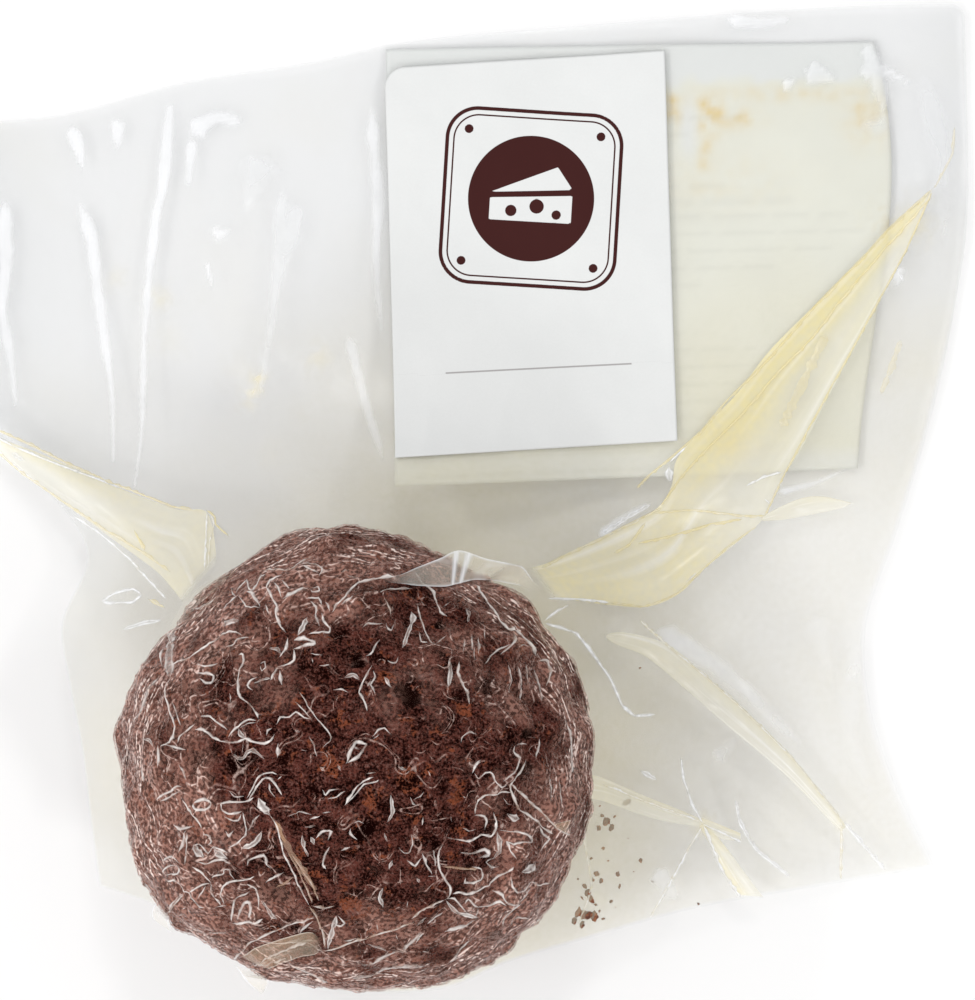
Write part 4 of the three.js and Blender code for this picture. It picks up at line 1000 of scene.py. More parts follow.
def film_on_ball(directions):
    """Points of the film on the ball, with the values that its finish reads."""
    base = from_centre(directions, ball_reach(directions))
    crest = crest_distance(WRINKLE, warped(base, 4.5, 1.8), 5.4)
    second = crest_distance(SECOND, warped(base, 3.0, 0.9), 2.6)
    # Masks of where painted highlights lie: along the creases (lit, lit_second), beside them and filled
    # between them, fewer on the crown.
    patchy = PATCHY(base / 5.2) + 0.35 * SMALL(base / 2.1)
    lit = smoothstep(patchy + 0.3 * wrinkled_and_lit(base), -0.3, 0.4)
    lit_second = smoothstep(PATCHY(base / 3.6 + 31) + 0.6 * wrinkled_and_lit(base), -0.05, 0.5)
    beside = smoothstep(PATCHY(base / 4.4 + 55), -0.05, 0.15)
    filled = smoothstep(PATCHY(base / 3.4 + 71) + 0.35 * wrinkled_and_lit(base), 0.18, 0.4)
    above_foot = smoothstep(base[:, 2], 0.5, 8)
    rim, near_rim, lit_rim = rim_lines(directions, base)

    relief = 0.5 * lit * np.exp(-((crest / 0.5) ** 2)) * (1 - 0.8 * near_rim)
    relief += (0.24 * lit_second * np.exp(-((second / 0.3) ** 2))
               + 0.15 * lit_rim * np.exp(-((rim / 0.4) ** 2)))
    relief += 0.75 * coarse_relief(base) + 0.08 * SMALL(base / 1.6)
    reach = ball_reach(directions) - 0.25 + above_foot * relief
    points = from_centre(directions, reach)
    points[:, 2] = np.maximum(points[:, 2], 0.1)
    outward = smoothstep(np.hypot(directions[:, 0], directions[:, 1]), 0.3, 0.75)
    # Milky veil of the film, growing towards the ball's rim as a painted reflection of the sky.
    veil_and_painted_reflection = smoothstep(0.6 * PATCHY(base / 13 + 7) + 0.5 * PATCHY(base / 5 + 19) + wrinkled_and_lit(base) + 0.3 * near_rim
                      + (0.5 + 0.4 * COARSE(base / 9 + 31)) * outward, 0.0, 1.1)
    small = 1 - 0.5 * smoothstep(directions[:, 2], 0.1, 0.4)
    return points, {"crest": crest, "second": second, "rim": rim, "lit": lit * (1 - 0.5 * near_rim) * small,
                    "lit_second": lit_second * (1 - 0.7 * near_rim) * (0.4 + 0.6 * small),
                    "lit_rim": lit_rim,
                    "beside": beside, "filled": filled * small, "veil_and_painted_reflection": veil_and_painted_reflection}


def on_ball(x, y, lift):
    """Points that stand off the film on the ball, over places seen from above."""
    directions = np.stack([x, y, top_of_ball(x, y) - CENTRE_HEIGHT], axis=1)
    directions /= np.linalg.norm(directions, axis=1)[:, None]
    points, _ = film_on_ball(directions)
    return points + directions * lift[:, None]


def on_sheet(x, y, lift):
    """Points that stand off the flat film."""
    return np.stack([x, y, sheet_top(x, y) + lift], axis=1)


def on_folds(x, y, lift):
    """Points that stand off the flat film and the folds that lie on it."""
    raised = np.zeros(len(x))
    for name, (side_a, side_b, height, _) in PLEATS.items():
        if name not in FOLDED_ON_BALL:
            away_a, away_b = (distance_to_line(x, y, side)[0] for side in (side_a, side_b))
            swell = np.sin(math.pi * away_a / np.maximum(away_a + away_b, 1e-6)) ** 0.6
            inside = depth_inside(x, y, side_a + side_b[::-1]) > 0
            raised = np.maximum(raised, np.where(inside, 0.2 + swell * (height + 0.25), 0))
    return on_sheet(x, y, lift + raised)


def wrinkled_and_lit(base):
    """Where the film's painted highlights and milky veil gather: the ball's lower left, lower right and upper
    left, where the film is most wrinkled and the lamps catch it, not its crown, which mirrors no lamp.
    """
    heading = np.degrees(np.arctan2(base[:, 1], base[:, 0]))
    level = np.hypot(base[:, 0], base[:, 1]) / BALL_RADIUS
    more = np.full(len(base), -0.15)
    for towards, strength in ((225, 0.75), (150, 0.45), (320, 0.55), (90, 0.2)):
        away = np.abs((heading - towards + 180) % 360 - 180)
        more += strength * np.exp(-((away / 42) ** 2)) * level
    return more - 0.55 * np.exp(-((level / 0.45) ** 2))


def round_places(base, places):
    """How near each point of the ball's upper half lies to ragged round places, 0 to 1."""
    most = np.zeros(len(base))
    ragged = np.clip(1 + 0.5 * SMALL(base / 1.7 + 33) + 0.35 * COARSE(base / 3 + 8), 0.4, 1.8)
    for (x, y), size in places:
        away = np.hypot(base[:, 0] - x, base[:, 1] - y) / (size * ragged)
        most = np.maximum(most, np.exp(-(away**4)))
    return most * (base[:, 2] > CENTRE_HEIGHT)


def top_of_ball(x, y):
    """Height of the film on the ball over places seen from above."""
    level = np.hypot(x, y)
    height = np.sqrt(np.maximum(BALL_RADIUS**2 - level**2, 0))
    for _ in range(3):
        direction = np.stack([x, y, height], axis=1)
        direction /= np.linalg.norm(direction, axis=1)[:, None]
        height = np.sqrt(np.maximum((ball_reach(direction) + 0.1) ** 2 - level**2, 0))
    return CENTRE_HEIGHT + height


def sheet_relief(x, y):
    """Unevenness of the flat film: wide waves, creases and the gathers round the ball."""
    places = np.stack([x, y, 0 * x], axis=1)
    beyond = beyond_seam(x, y)
    rise = 0.42 * COARSE(places / 26) + 0.13 * COARSE(places / 8 + 5) + 0.05 * SMALL(places / 3.2)
    heading = np.arctan2(y, x)
    around = np.stack([14 * np.cos(heading), 14 * np.sin(heading), 0.05 * beyond], axis=1)
    gathers = crests(WRINKLE, around * 0.42) - 0.4
    gathered = gathers * np.exp(-beyond / 13) * (1 - np.exp(-beyond / 2.5))
    return rise * (1 - np.exp(-beyond / 6)) + gathered


def sheet_top(x, y):
    return np.maximum(bag_upper(x, y) + sheet_relief(x, y), bag_lower(x, y) + 0.12)


def film_top(x, y):
    """Height of the uppermost film, on the ball or on the flat bag."""
    on_ball = np.hypot(x, y) < SEAM_RADIUS - 1.2
    return np.where(on_ball, top_of_ball(x, y), sheet_top(x, y))


def inner_edge(heading):
    """How far from the ball's axis the sheets begin, a little inside the film on the ball."""
    drop = (SEAM_HEIGHT - CENTRE_HEIGHT) / BALL_RADIUS
    level = math.sqrt(1 - drop * drop)
    direction = np.stack([level * np.cos(heading), level * np.sin(heading), drop + 0 * heading], axis=1)
    return np.minimum(ball_reach(direction) * level - 1.0, SEAM_RADIUS - 0.6)


def around_ball(steps):
    """The bag's plan as a grid with a round hole where the ball is: places, faces and shares."""
    u, v = grid_shares(steps, steps)
    places = bag_plan(u, v)
    level = np.hypot(places[:, 0], places[:, 1])
    least = inner_edge(np.arctan2(places[:, 1], places[:, 0]))
    hidden = level < least
    places = np.where(hidden[:, None], places * (least / np.maximum(level, 1e-6))[:, None], places)
    faces = grid_faces(steps, steps)
    return places, faces[~hidden[faces].all(axis=1)], u, v


def marks(x, y):
    """How white the flat film's gleams, its painted highlights, are, and how oily it is, at each place."""
    white = np.zeros(len(x))
    places = np.stack([x, y, 0 * x], axis=1)
    ragged = np.clip(1 + 0.5 * SMALL(places / 7) + 0.2 * SMALL(places / 2.5 + 5), 0.4, 1.6)
    for line, width, strength in GLEAMS:
        away, along = distance_to_line(x, y, list(spline(line, np.linspace(0, 1, 6 * len(line)))))
        taper = np.sqrt(np.clip(1.02 - along, 0, 1)) * np.clip(6 * along + 0.35, 0, 1)
        half = np.maximum(0.85 * width * taper, 0.3) * ragged
        white = np.maximum(white, 0.7 * strength * np.exp(-((away / half) ** 4)) * (0.35 + 0.65 * taper))
    white *= 0.85 + 0.25 * SMALL(places / 5.0)
    oil = np.zeros(len(x))
    for (centre_x, centre_y), size, strength in OIL_FLECKS:
        ragged = size * (1 + 0.7 * SMALL(places / 2.0) + 0.5 * SMALL(places / 0.9 + 9))
        away = np.hypot(x - centre_x, y - centre_y) / np.maximum(ragged, 0.3)
        oil = np.maximum(oil, strength * np.exp(-(away**2)))
    return np.clip(white, 0, 1), np.clip(oil, 0, 1)


def creamy(x, y):
    """Where a thin film of oil turns the bag cream: near the ball, and over its right half."""
    places = np.stack([x, y, 0 * x], axis=1)
    near_ball = np.exp(-(np.hypot(x, y) - 42).clip(0) / 20)
    rightward = smoothstep(x, -25, 20) * smoothstep(y, 110, 70) * 0.28
    patches = 0.08 * COARSE(places / 19 + 3) + 0.03 * SMALL(places / 6 + 12)
    return np.clip(0.42 * near_ball + rightward + patches, 0, 1)


def thickness(x, y, u):
    """How hazy the flat film is, 1 for most of it: more by its sides, less to the right of the ball."""
    left, right = u * BAG_WIDTH, (1 - u) * BAG_WIDTH
    beside = np.exp(-((left / 16) ** 2)) + 0.7 * np.exp(-((right / 9) ** 2)) * smoothstep(y, 20, 70)
    lower_right = smoothstep(x, 25, 55) * smoothstep(y, 66, 40) * smoothstep(np.hypot(x, y), 50, 75)
    by_ball = 0.3 * np.exp(-(np.hypot(x, y) - 42).clip(0) / 9)
    return (1 + 0.6 * beside - 0.6 * lower_right) * (1 - by_ball)


def from_edge(u, v):
    """Distance from the bag's nearest edge, roughly."""
    return np.minimum(np.minimum(u, 1 - u) * BAG_WIDTH, np.minimum(v, 1 - v) * BAG_LENGTH)


def edge_fade(rim, y):
    """How the film thins out at the bag's edge: over a wide strip low down, and hardly at all at the top."""
    return np.maximum(smoothstep(rim, 0, 1.8), smoothstep(y, 60, 90) * smoothstep(rim, 0, 0.3))


def ribbon(line, half_width, height, white, oil, surface, sides=4, seed=0):
    """A crease: a narrow strip along a line, drawn out to nothing at both ends and peaked in the middle."""
    path = np.array(line, float)
    length = np.hypot(*np.diff(path, axis=0).T).sum()
    steps = max(8, int(length / 0.5))
    share = np.linspace(0, 1, steps + 1)
    places = share * (len(path) - 1)
    straight = np.stack([np.interp(places, range(len(path)), path[:, axis]) for axis in (0, 1)], axis=1)
    path = 0.4 * spline(line, share) + 0.6 * straight
    ahead = np.gradient(path, axis=0)
    ahead /= np.maximum(np.hypot(*ahead.T), 1e-9)[:, None]
    across = np.stack([-ahead[:, 1], ahead[:, 0]], axis=1)
    wander = SMALL(np.stack([share * length / 3.0, share * 0 + seed, share * 0], axis=1))
    quick = SECOND(np.stack([share * length / 1.1, share * 0 + seed, share * 0 + 4], axis=1))
    path = path + across * (0.16 * wander + 0.12 * quick)[:, None]
    ends = np.clip(0.08 + length / 1.2 * np.minimum(share, 1 - share), 0, 1)
    size = ends * np.clip(0.8 + 0.45 * wander + 0.7 * quick, 0.3, 1.5)
    offsets = np.linspace(-1, 1, 2 * sides + 1)
    aside = offsets[None, :, None] * half_width * size[:, None, None]
    places = path[:, None, :] + across[:, None, :] * aside
    x, y = places[..., 0].ravel(), places[..., 1].ravel()
    peak = (1 - np.abs(offsets)) ** 0.8
    lift = (height * size[:, None] * peak[None, :]).ravel()
    points = surface(x, y, 0.05 + lift)
    # Whiteness across the crease: painted highlights on both edges of a wide crease, along the middle of a
    # narrow one.
    bright_edges = np.interp(np.abs(offsets), (0, 0.33, 0.67, 1), (0.3, 0.4, 0.95, 0.1))
    across_it = bright_edges if half_width > 0.4 else 0.1 + 0.9 * peak
    strength = (np.clip(0.7 + 0.7 * wander - 0.4 * quick, 0.1, 1)[:, None] * across_it[None, :]).ravel()
    strength = np.clip(strength * (1 + 0.8 * SECOND(np.stack([x, y, 0 * x], axis=1) / 0.7)), 0, 1)
    ends = np.repeat(ends, 2 * sides + 1)
    values = {"white": white * strength, "oil": oil * np.ones(len(x)), "layer": 0.5 * ends, "thick": ends}
    return points, grid_faces(2 * sides, steps), values


def flap(side_a, side_b, lift, surface, seed=0, cells=(150, 26)):
    """A fold of film laid flat between two edges that run from the ball outwards."""
    u, v = grid_shares(*cells)
    edge_a, edge_b = spline(side_a, u), spline(side_b, u)
    places = (1 - v)[:, None] * edge_a + v[:, None] * edge_b
    x, y = places.T
    flat = np.stack([x, y, 0 * x + seed], axis=1)
    swell = np.sin(math.pi * np.clip(v, 0, 1)) ** 0.6
    height = surface(x, y) + 0.12 + swell * (lift + 0.2 * COARSE(flat / 11) + 0.06 * SMALL(flat / 3))
    return np.stack([x, y, height], axis=1), grid_faces(*cells), u, v


def web(outer, heights, inner, cells=(90, 16)):
    """A thin sail of film between an edge that stands outside the ball and one that lies on it."""
    u, v = grid_shares(*cells)
    edge = spline(np.column_stack([outer, heights]), u)
    root = spline(inner, u)
    root = np.column_stack([root, top_of_ball(*root.T) + 0.2])
    points = (1 - v)[:, None] * edge + v[:, None] * root
    points[:, 2] += 0.5 * np.sin(math.pi * v) * COARSE(points / 5) + 0.12 * SMALL(points / 1.8)
    return points, grid_faces(*cells), u, v


# ---- Labels ------------------------------------------------------------------------------------
def label_places(corners, columns, rows, corner_radius):
    """Places on a label from its corners, top left first and then clockwise, with its shares."""
    u, v = grid_shares(columns, rows)
    top_left, top_right, bottom_right, bottom_left = (np.array(corner) for corner in corners)
    low = (1 - u)[:, None] * bottom_left + u[:, None] * bottom_right
    high = (1 - u)[:, None] * top_left + u[:, None] * top_right
    places = (1 - v)[:, None] * low + v[:, None] * high
    x, y = places.T
    if corner_radius:
        x, y = round_corner(x, y, top_left, corner_radius, (-1, 1))
    return u, v, x, y


def slab(x, y, upper, lower, columns, rows):
    """A closed thin sheet over a grid of places: points and faces."""
    top = grid_faces(columns, rows)
    index = np.arange(len(x)).reshape(rows + 1, columns + 1)
    rim = np.concatenate([index[0], index[1:, -1], index[-1, -2::-1], index[-2:0:-1, 0]])
    after = np.roll(rim, -1)
    skirt = np.stack([rim, rim + len(x), after + len(x), after], axis=1)
    points = np.concatenate([np.stack([x, y, upper], axis=1), np.stack([x, y, lower], axis=1)])
    return points, np.concatenate([top, top[:, ::-1] + len(x), skirt])


def box_depth(x, y, half, radius):
    """How far inside a rounded square each place is, less than 0 outside."""
    over_x, over_y = np.abs(x) - half + radius, np.abs(y) - half + radius
    outside = np.hypot(np.maximum(over_x, 0), np.maximum(over_y, 0))
    return radius - outside - np.minimum(np.maximum(over_x, over_y), 0)


def disc_depth(x, y, centre, radius):
    return radius - np.hypot(x - centre[0], y - centre[1])


def badge(x, y):
    """Depth inside the print, a disc with a wedge of cheese in a frame, and distances from two thin lines."""
    turn = math.radians(BADGE_TURN)
    across = (x - BADGE_CENTRE[0]) * math.cos(turn) + (y - BADGE_CENTRE[1]) * math.sin(turn)
    up = -(x - BADGE_CENTRE[0]) * math.sin(turn) + (y - BADGE_CENTRE[1]) * math.cos(turn)
    outer = box_depth(across, up, BADGE_HALF, BADGE_CORNER_RADIUS)
    frame_line = np.minimum(outer, BADGE_FRAME_WIDTH - outer)
    inner = box_depth(across, up, BADGE_INNER_HALF, BADGE_INNER_RADIUS)
    disc = disc_depth(across, up, (0, 0), BADGE_DISC_RADIUS)
    holes = np.maximum.reduce([disc_depth(across, up, centre, radius) for centre, radius in WEDGE_HOLES])
    side, top = depth_inside(across, up, WEDGE_SIDE), depth_inside(across, up, WEDGE_TOP)
    pale = np.maximum(np.minimum(side, -holes), top)
    dots = np.maximum.reduce([disc_depth(across, up, (side_x * DOT_PLACE, side_y * DOT_PLACE), DOT_RADIUS)
                              for side_x, side_y in itertools.product((-1, 1), repeat=2)])
    (start_x, start_y), (end_x, end_y) = RULE
    length = math.hypot(end_x - start_x, end_y - start_y)
    along = ((x - start_x) * (end_x - start_x) + (y - start_y) * (end_y - start_y)) / length
    aside = ((y - start_y) * (end_x - start_x) - (x - start_x) * (end_y - start_y)) / length
    rule = np.where((along > 0) & (along < length), aside, np.copysign(9, aside))
    return np.maximum.reduce([frame_line, np.minimum(disc, -pale), dots]), inner, rule


def rows_of_print(x, y, u, v):
    """Faint bars in rows of uneven length, 0 to 1."""
    row = np.floor(v * PRINT_ROWS)
    within = v * PRINT_ROWS - row
    length = 0.55 + 0.4 * np.sin(row * 12.9) ** 2
    bar = smoothstep(within, 0.3, 0.4) * (1 - smoothstep(within, 0.6, 0.7))
    spaces = smoothstep(np.sin(u * 61 + row * 7.7) + 0.7 * np.sin(u * 149 + row * 3.1), -1.2, -0.9)
    return bar * spaces * smoothstep(u, 0.04, 0.05) * (1 - smoothstep(u, length, length + 0.01)) * (v < 0.86)


# ---- Node code ---------------------------------------------------------------------------------
def node(tree, kind, inputs=None, **settings):
    """Adds a shader node, sets it, and fills or links its inputs by name or number."""
    made = tree.nodes.new("ShaderNode" + kind)
    for key, value in settings.items():
        setattr(made, key, value)
    for key, value in (inputs or {}).items():
        if isinstance(value, bpy.types.NodeSocket):
            tree.links.new(value, made.inputs[key])
        else:
            made.inputs[key].default_value = value
    return made


def maths(tree, operation, *values, clamp=False):
    return node(tree, "Math", dict(enumerate(values)), operation=operation, use_clamp=clamp).outputs[0]


def mixed(tree, factor, first, second, blend="MIX"):
    """Mixes two colours."""
    colours = [(*value, 1) if isinstance(value, (tuple, list)) and len(value) == 3 else value
               for value in (first, second)]
    made = node(tree, "Mix", {0: factor, 6: colours[0], 7: colours[1]}, data_type="RGBA", blend_type=blend)
    return made.outputs[2]


def stepped(tree, value, low, high):
    """0 below low, 1 above high, smooth between."""
    made = node(tree, "MapRange", {"Value": value, "From Min": low, "From Max": high},
                interpolation_type="SMOOTHSTEP")
    return made.outputs["Result"]


def in_millimetres(tree, spacing):
    """Object coordinates with one unit for each spacing, in millimetres."""
    place = node(tree, "TexCoord").outputs["Object"]
    return node(tree, "VectorMath", {0: place, "Scale": 1000 / spacing}, operation="SCALE").outputs[0]


def noise(tree, spacing, detail=2.0, roughness=0.5, distortion=0.0):
    made = node(tree, "TexNoise", {"Vector": in_millimetres(tree, spacing), "Scale": 1.0, "Detail": detail,
                                   "Roughness": roughness, "Distortion": distortion})
    return made.outputs["Fac"]


def of_points(tree, name):
    """A value that the mesh holds for each point."""
    return node(tree, "Attribute", attribute_name=name).outputs["Fac"]


def product(tree, *factors):
    made = factors[0]
    for factor in factors[1:]:
        made = maths(tree, "MULTIPLY", made, factor)
    return made


def total(tree, *terms):
    made = terms[0]
    for term in terms[1:]:
        made = maths(tree, "ADD", made, term)
    return made


def new_group(name, inputs, outputs):
    """A shader node group with sockets of the kinds given: name to kind, or name to kind and default."""
    tree = bpy.data.node_groups.new(name, "ShaderNodeTree")
    for label, (kind, default) in inputs.items():
        socket = tree.interface.new_socket(name=label, in_out="INPUT", socket_type="NodeSocket" + kind)
        socket.default_value = default
    for label, kind in outputs.items():
        tree.interface.new_socket(name=label, in_out="OUTPUT", socket_type="NodeSocket" + kind)
    return tree, tree.nodes.new("NodeGroupInput").outputs, tree.nodes.new("NodeGroupOutput").inputs


def placed(tree, group, **inputs):
    """Places a group in a material with its own values."""
    made = tree.nodes.new("ShaderNodeGroup")
    made.node_tree = bpy.data.node_groups[group]
    for key, value in inputs.items():
        socket = made.inputs[key.replace("_", " ")]
        if isinstance(value, bpy.types.NodeSocket):
            tree.links.new(value, socket)
        else:
            socket.default_value = (*value, 1) if len_of(value) == 3 else value
    return made.outputs


def len_of(value):
    return len(value) if hasattr(value, "__len__") else 1


def new_material(name):
    """A material, its node tree and its Principled shader."""
    material = bpy.data.materials.new(name)
    material.use_nodes = True
    tree = material.node_tree
    return material, tree, tree.nodes["Principled BSDF"]


def plug(tree, shader, **sockets):
    """Sets or links the shader's sockets."""
    for key, value in sockets.items():
        socket = shader.inputs[key.replace("_", " ")]
        if isinstance(value, bpy.types.NodeSocket):
            tree.links.new(value, socket)
        else:
            socket.default_value = (*value, 1) if len_of(value) == 3 else value


def bumped(tree, height, distance, strength=1.0):
    """Normal of a height that is 0 to 1 over a distance in millimetres."""
    made = node(tree, "Bump", {"Height": height, "Distance": distance * MM, "Strength": strength})
    return made.outputs["Normal"]


def build_groups():
    """The effects that several finishes share."""
    tree, given, put = new_group(
        "oil_tint", {"Amount": ("Float", 0.0), "Clear": ("Color", (0.8, 0.8, 0.8, 1)),
                     "Oily": ("Color", (0.9, 0.8, 0.4, 1))}, {"Color": "Color", "Stain": "Float"})
    grain = noise(tree, 1.3, detail=0.0)
    uneven = total(tree, 0.78, product(tree, grain, 0.44))
    uneven = maths(tree, "MULTIPLY", given["Amount"], uneven, clamp=True)
    tree.links.new(mixed(tree, uneven, given["Clear"], given["Oily"]), put["Color"])
    tree.links.new(uneven, put["Stain"])

    tree, given, put = new_group(
        "crust_grain", {"Dark": ("Color", (0.02, 0.005, 0.004, 1)), "Brown": ("Color", (0.1, 0.03, 0.02, 1)),
                        "Rust": ("Color", (0.25, 0.06, 0.02, 1)), "Pale": ("Color", (0.4, 0.25, 0.2, 1)),
                        "Depth": ("Float", 0.5), "Rusty": ("Float", 0.0)},
        {"Color": "Color", "Height": "Float"})
    coarse = noise(tree, 2.6, detail=2.0, roughness=0.55, distortion=0.6)
    fine = noise(tree, 0.5, detail=2.0, roughness=0.7)
    rusty = noise(tree, 3.0, detail=2.0, roughness=0.75)
    # The deeper the pit, the darker the colour: painted shade in the crust's recesses.
    lighter = total(tree, product(tree, fine, 0.8), product(tree, coarse, 0.34),
                    product(tree, given["Depth"], -0.32))
    shade = stepped(tree, lighter, 0.33, 0.62)
    colour = mixed(tree, shade, given["Dark"], given["Brown"])
    rusty = total(tree, rusty, product(tree, given["Rusty"], 0.17))
    reddened = product(tree, stepped(tree, rusty, 0.6, 0.68), stepped(tree, lighter, 0.36, 0.5))
    colour = mixed(tree, product(tree, reddened, 0.8), colour, given["Rust"])
    thread = noise(tree, 1.5, detail=1.0, roughness=0.6, distortion=2.0)
    threads = stepped(tree, maths(tree, "ABSOLUTE", maths(tree, "SUBTRACT", thread, 0.5)), 0.03, 0.008)
    threads = product(tree, threads, stepped(tree, lighter, 0.36, 0.5))
    grains = product(tree, stepped(tree, fine, 0.58, 0.7), stepped(tree, coarse, 0.44, 0.56))
    pale = maths(tree, "MAXIMUM", product(tree, threads, 0.3), product(tree, grains, 0.4))
    tree.links.new(mixed(tree, pale, colour, given["Pale"]), put["Color"])
    tree.links.new(maths(tree, "ADD", lighter, product(tree, pale, 0.25)), put["Height"])

    tree, given, put = new_group(
        "paper_fibre", {"Paper": ("Color", (0.8, 0.8, 0.8, 1)), "Mottle": ("Float", 0.04)},
        {"Color": "Color", "Height": "Float"})
    fibre = noise(tree, 0.5, detail=2.0, roughness=0.7)
    cloud = noise(tree, 9.0, detail=1.0)
    shade = total(tree, 1.0, product(tree, total(tree, fibre, cloud, -1.0), given["Mottle"]))
    grey = node(tree, "CombineColor", {0: shade, 1: shade, 2: shade}).outputs[0]
    shaded = mixed(tree, 1.0, given["Paper"], grey, blend="MULTIPLY")
    tree.links.new(shaded, put["Color"])
    tree.links.new(fibre, put["Height"])


def thin_line(tree, distance, half_width):
    """1 on a line and 0 beside it, from the distance to it."""
    away = maths(tree, "DIVIDE", maths(tree, "ABSOLUTE", distance), half_width, clamp=True)
    return maths(tree, "SUBTRACT", 1.0, maths(tree, "POWER", away, 2.0))


def ball_film_material():
    """Clear film over the crust: painted highlights along winding creases and a net of small ones, and milky
    patches between them, partly a painted reflection of the sky.
    """
    material, tree, shader = new_material("film_round_ball")
    edge_on = maths(tree, "POWER", node(tree, "LayerWeight", {"Blend": 0.5}).outputs["Facing"], 3.0)
    fine = noise(tree, 0.7, detail=0.0)
    uneven = maths(tree, "ADD", 0.35, product(tree, stepped(tree, fine, 0.36, 0.6), 0.65))
    crest, lit = of_points(tree, "crest"), of_points(tree, "lit")
    main = product(tree, thin_line(tree, crest, 0.19), lit)
    twin = thin_line(tree, maths(tree, "SUBTRACT", crest, 0.62), 0.15)
    beside = product(tree, twin, lit, of_points(tree, "beside"))
    net = product(tree, thin_line(tree, of_points(tree, "second"), 0.13), of_points(tree, "lit_second"), 0.8)
    rim = product(tree, thin_line(tree, of_points(tree, "rim"), 0.3), of_points(tree, "lit_rim"), 0.85)
    lines = maths(tree, "MAXIMUM", maths(tree, "MAXIMUM", main, beside), maths(tree, "MAXIMUM", net, rim))
    lines = product(tree, lines, uneven)
    between = product(tree, stepped(tree, crest, 0.0, 0.1), stepped(tree, crest, 0.68, 0.56), lit,
                      of_points(tree, "filled"), stepped(tree, fine, 0.3, 0.6))
    broken = maths(tree, "ADD", 0.3, product(tree, stepped(tree, fine, 0.4, 0.6), 0.7))
    veil_and_painted_reflection = product(tree, of_points(tree, "veil_and_painted_reflection"), broken, 0.54)
    # Painted highlights: the crease lines and the filled places between them turn pale and opaque; the veil
    # is milky film with a painted reflection of the sky.
    alpha = total(tree, 0.002, veil_and_painted_reflection, product(tree, lines, 0.92), product(tree, between, 0.55),
                  product(tree, edge_on, 0.05))
    plain = maths(tree, "SUBTRACT", 1.0, maths(tree, "MAXIMUM", lines, between, clamp=True), clamp=True)
    plug(tree, shader, Base_Color=mixed(tree, plain, (0.92, 0.81, 0.75), (0.52, 0.26, 0.20)), Roughness=0.22,
         IOR=1.45, Specular_IOR_Level=0.3, Alpha=maths(tree, "MINIMUM", alpha, 0.97))


def flat_film_material(name, haze, clear, oily, bright=(0.95, 0.96, 0.98)):
    """Clear film that is hazy where it lies flat, yellow where oiled, and painted white with highlights where
    creased or where it tilts to the light.
    """
    material, tree, shader = new_material(name)
    white = of_points(tree, "white")
    tint = placed(tree, "oil_tint", Amount=of_points(tree, "oil"), Clear=tuple(clear), Oily=tuple(oily))
    edge_on = maths(tree, "POWER", node(tree, "LayerWeight", {"Blend": 0.5}).outputs["Facing"], 3.0)
    # The painted highlights (white) make the film nearly opaque there, and the base colour turns to the
    # bright colour.
    alpha = total(tree, product(tree, of_points(tree, "thick"), haze), product(tree, white, 0.8),
                  product(tree, tint["Stain"], 0.2), product(tree, of_points(tree, "layer"), 0.16),
                  product(tree, edge_on, of_points(tree, "thick"), 0.08))
    plain = maths(tree, "SUBTRACT", 1.0, product(tree, white, 3.0), clamp=True)
    plug(tree, shader, Base_Color=mixed(tree, plain, bright, tint["Color"]), Roughness=0.24,
         IOR=1.45, Alpha=maths(tree, "MINIMUM", alpha, 0.97))


def settings(context):
    scene = context.scene
    return scene.cheese_ball, scene.cheese_film, scene.cheese_label, scene.cheese_stage


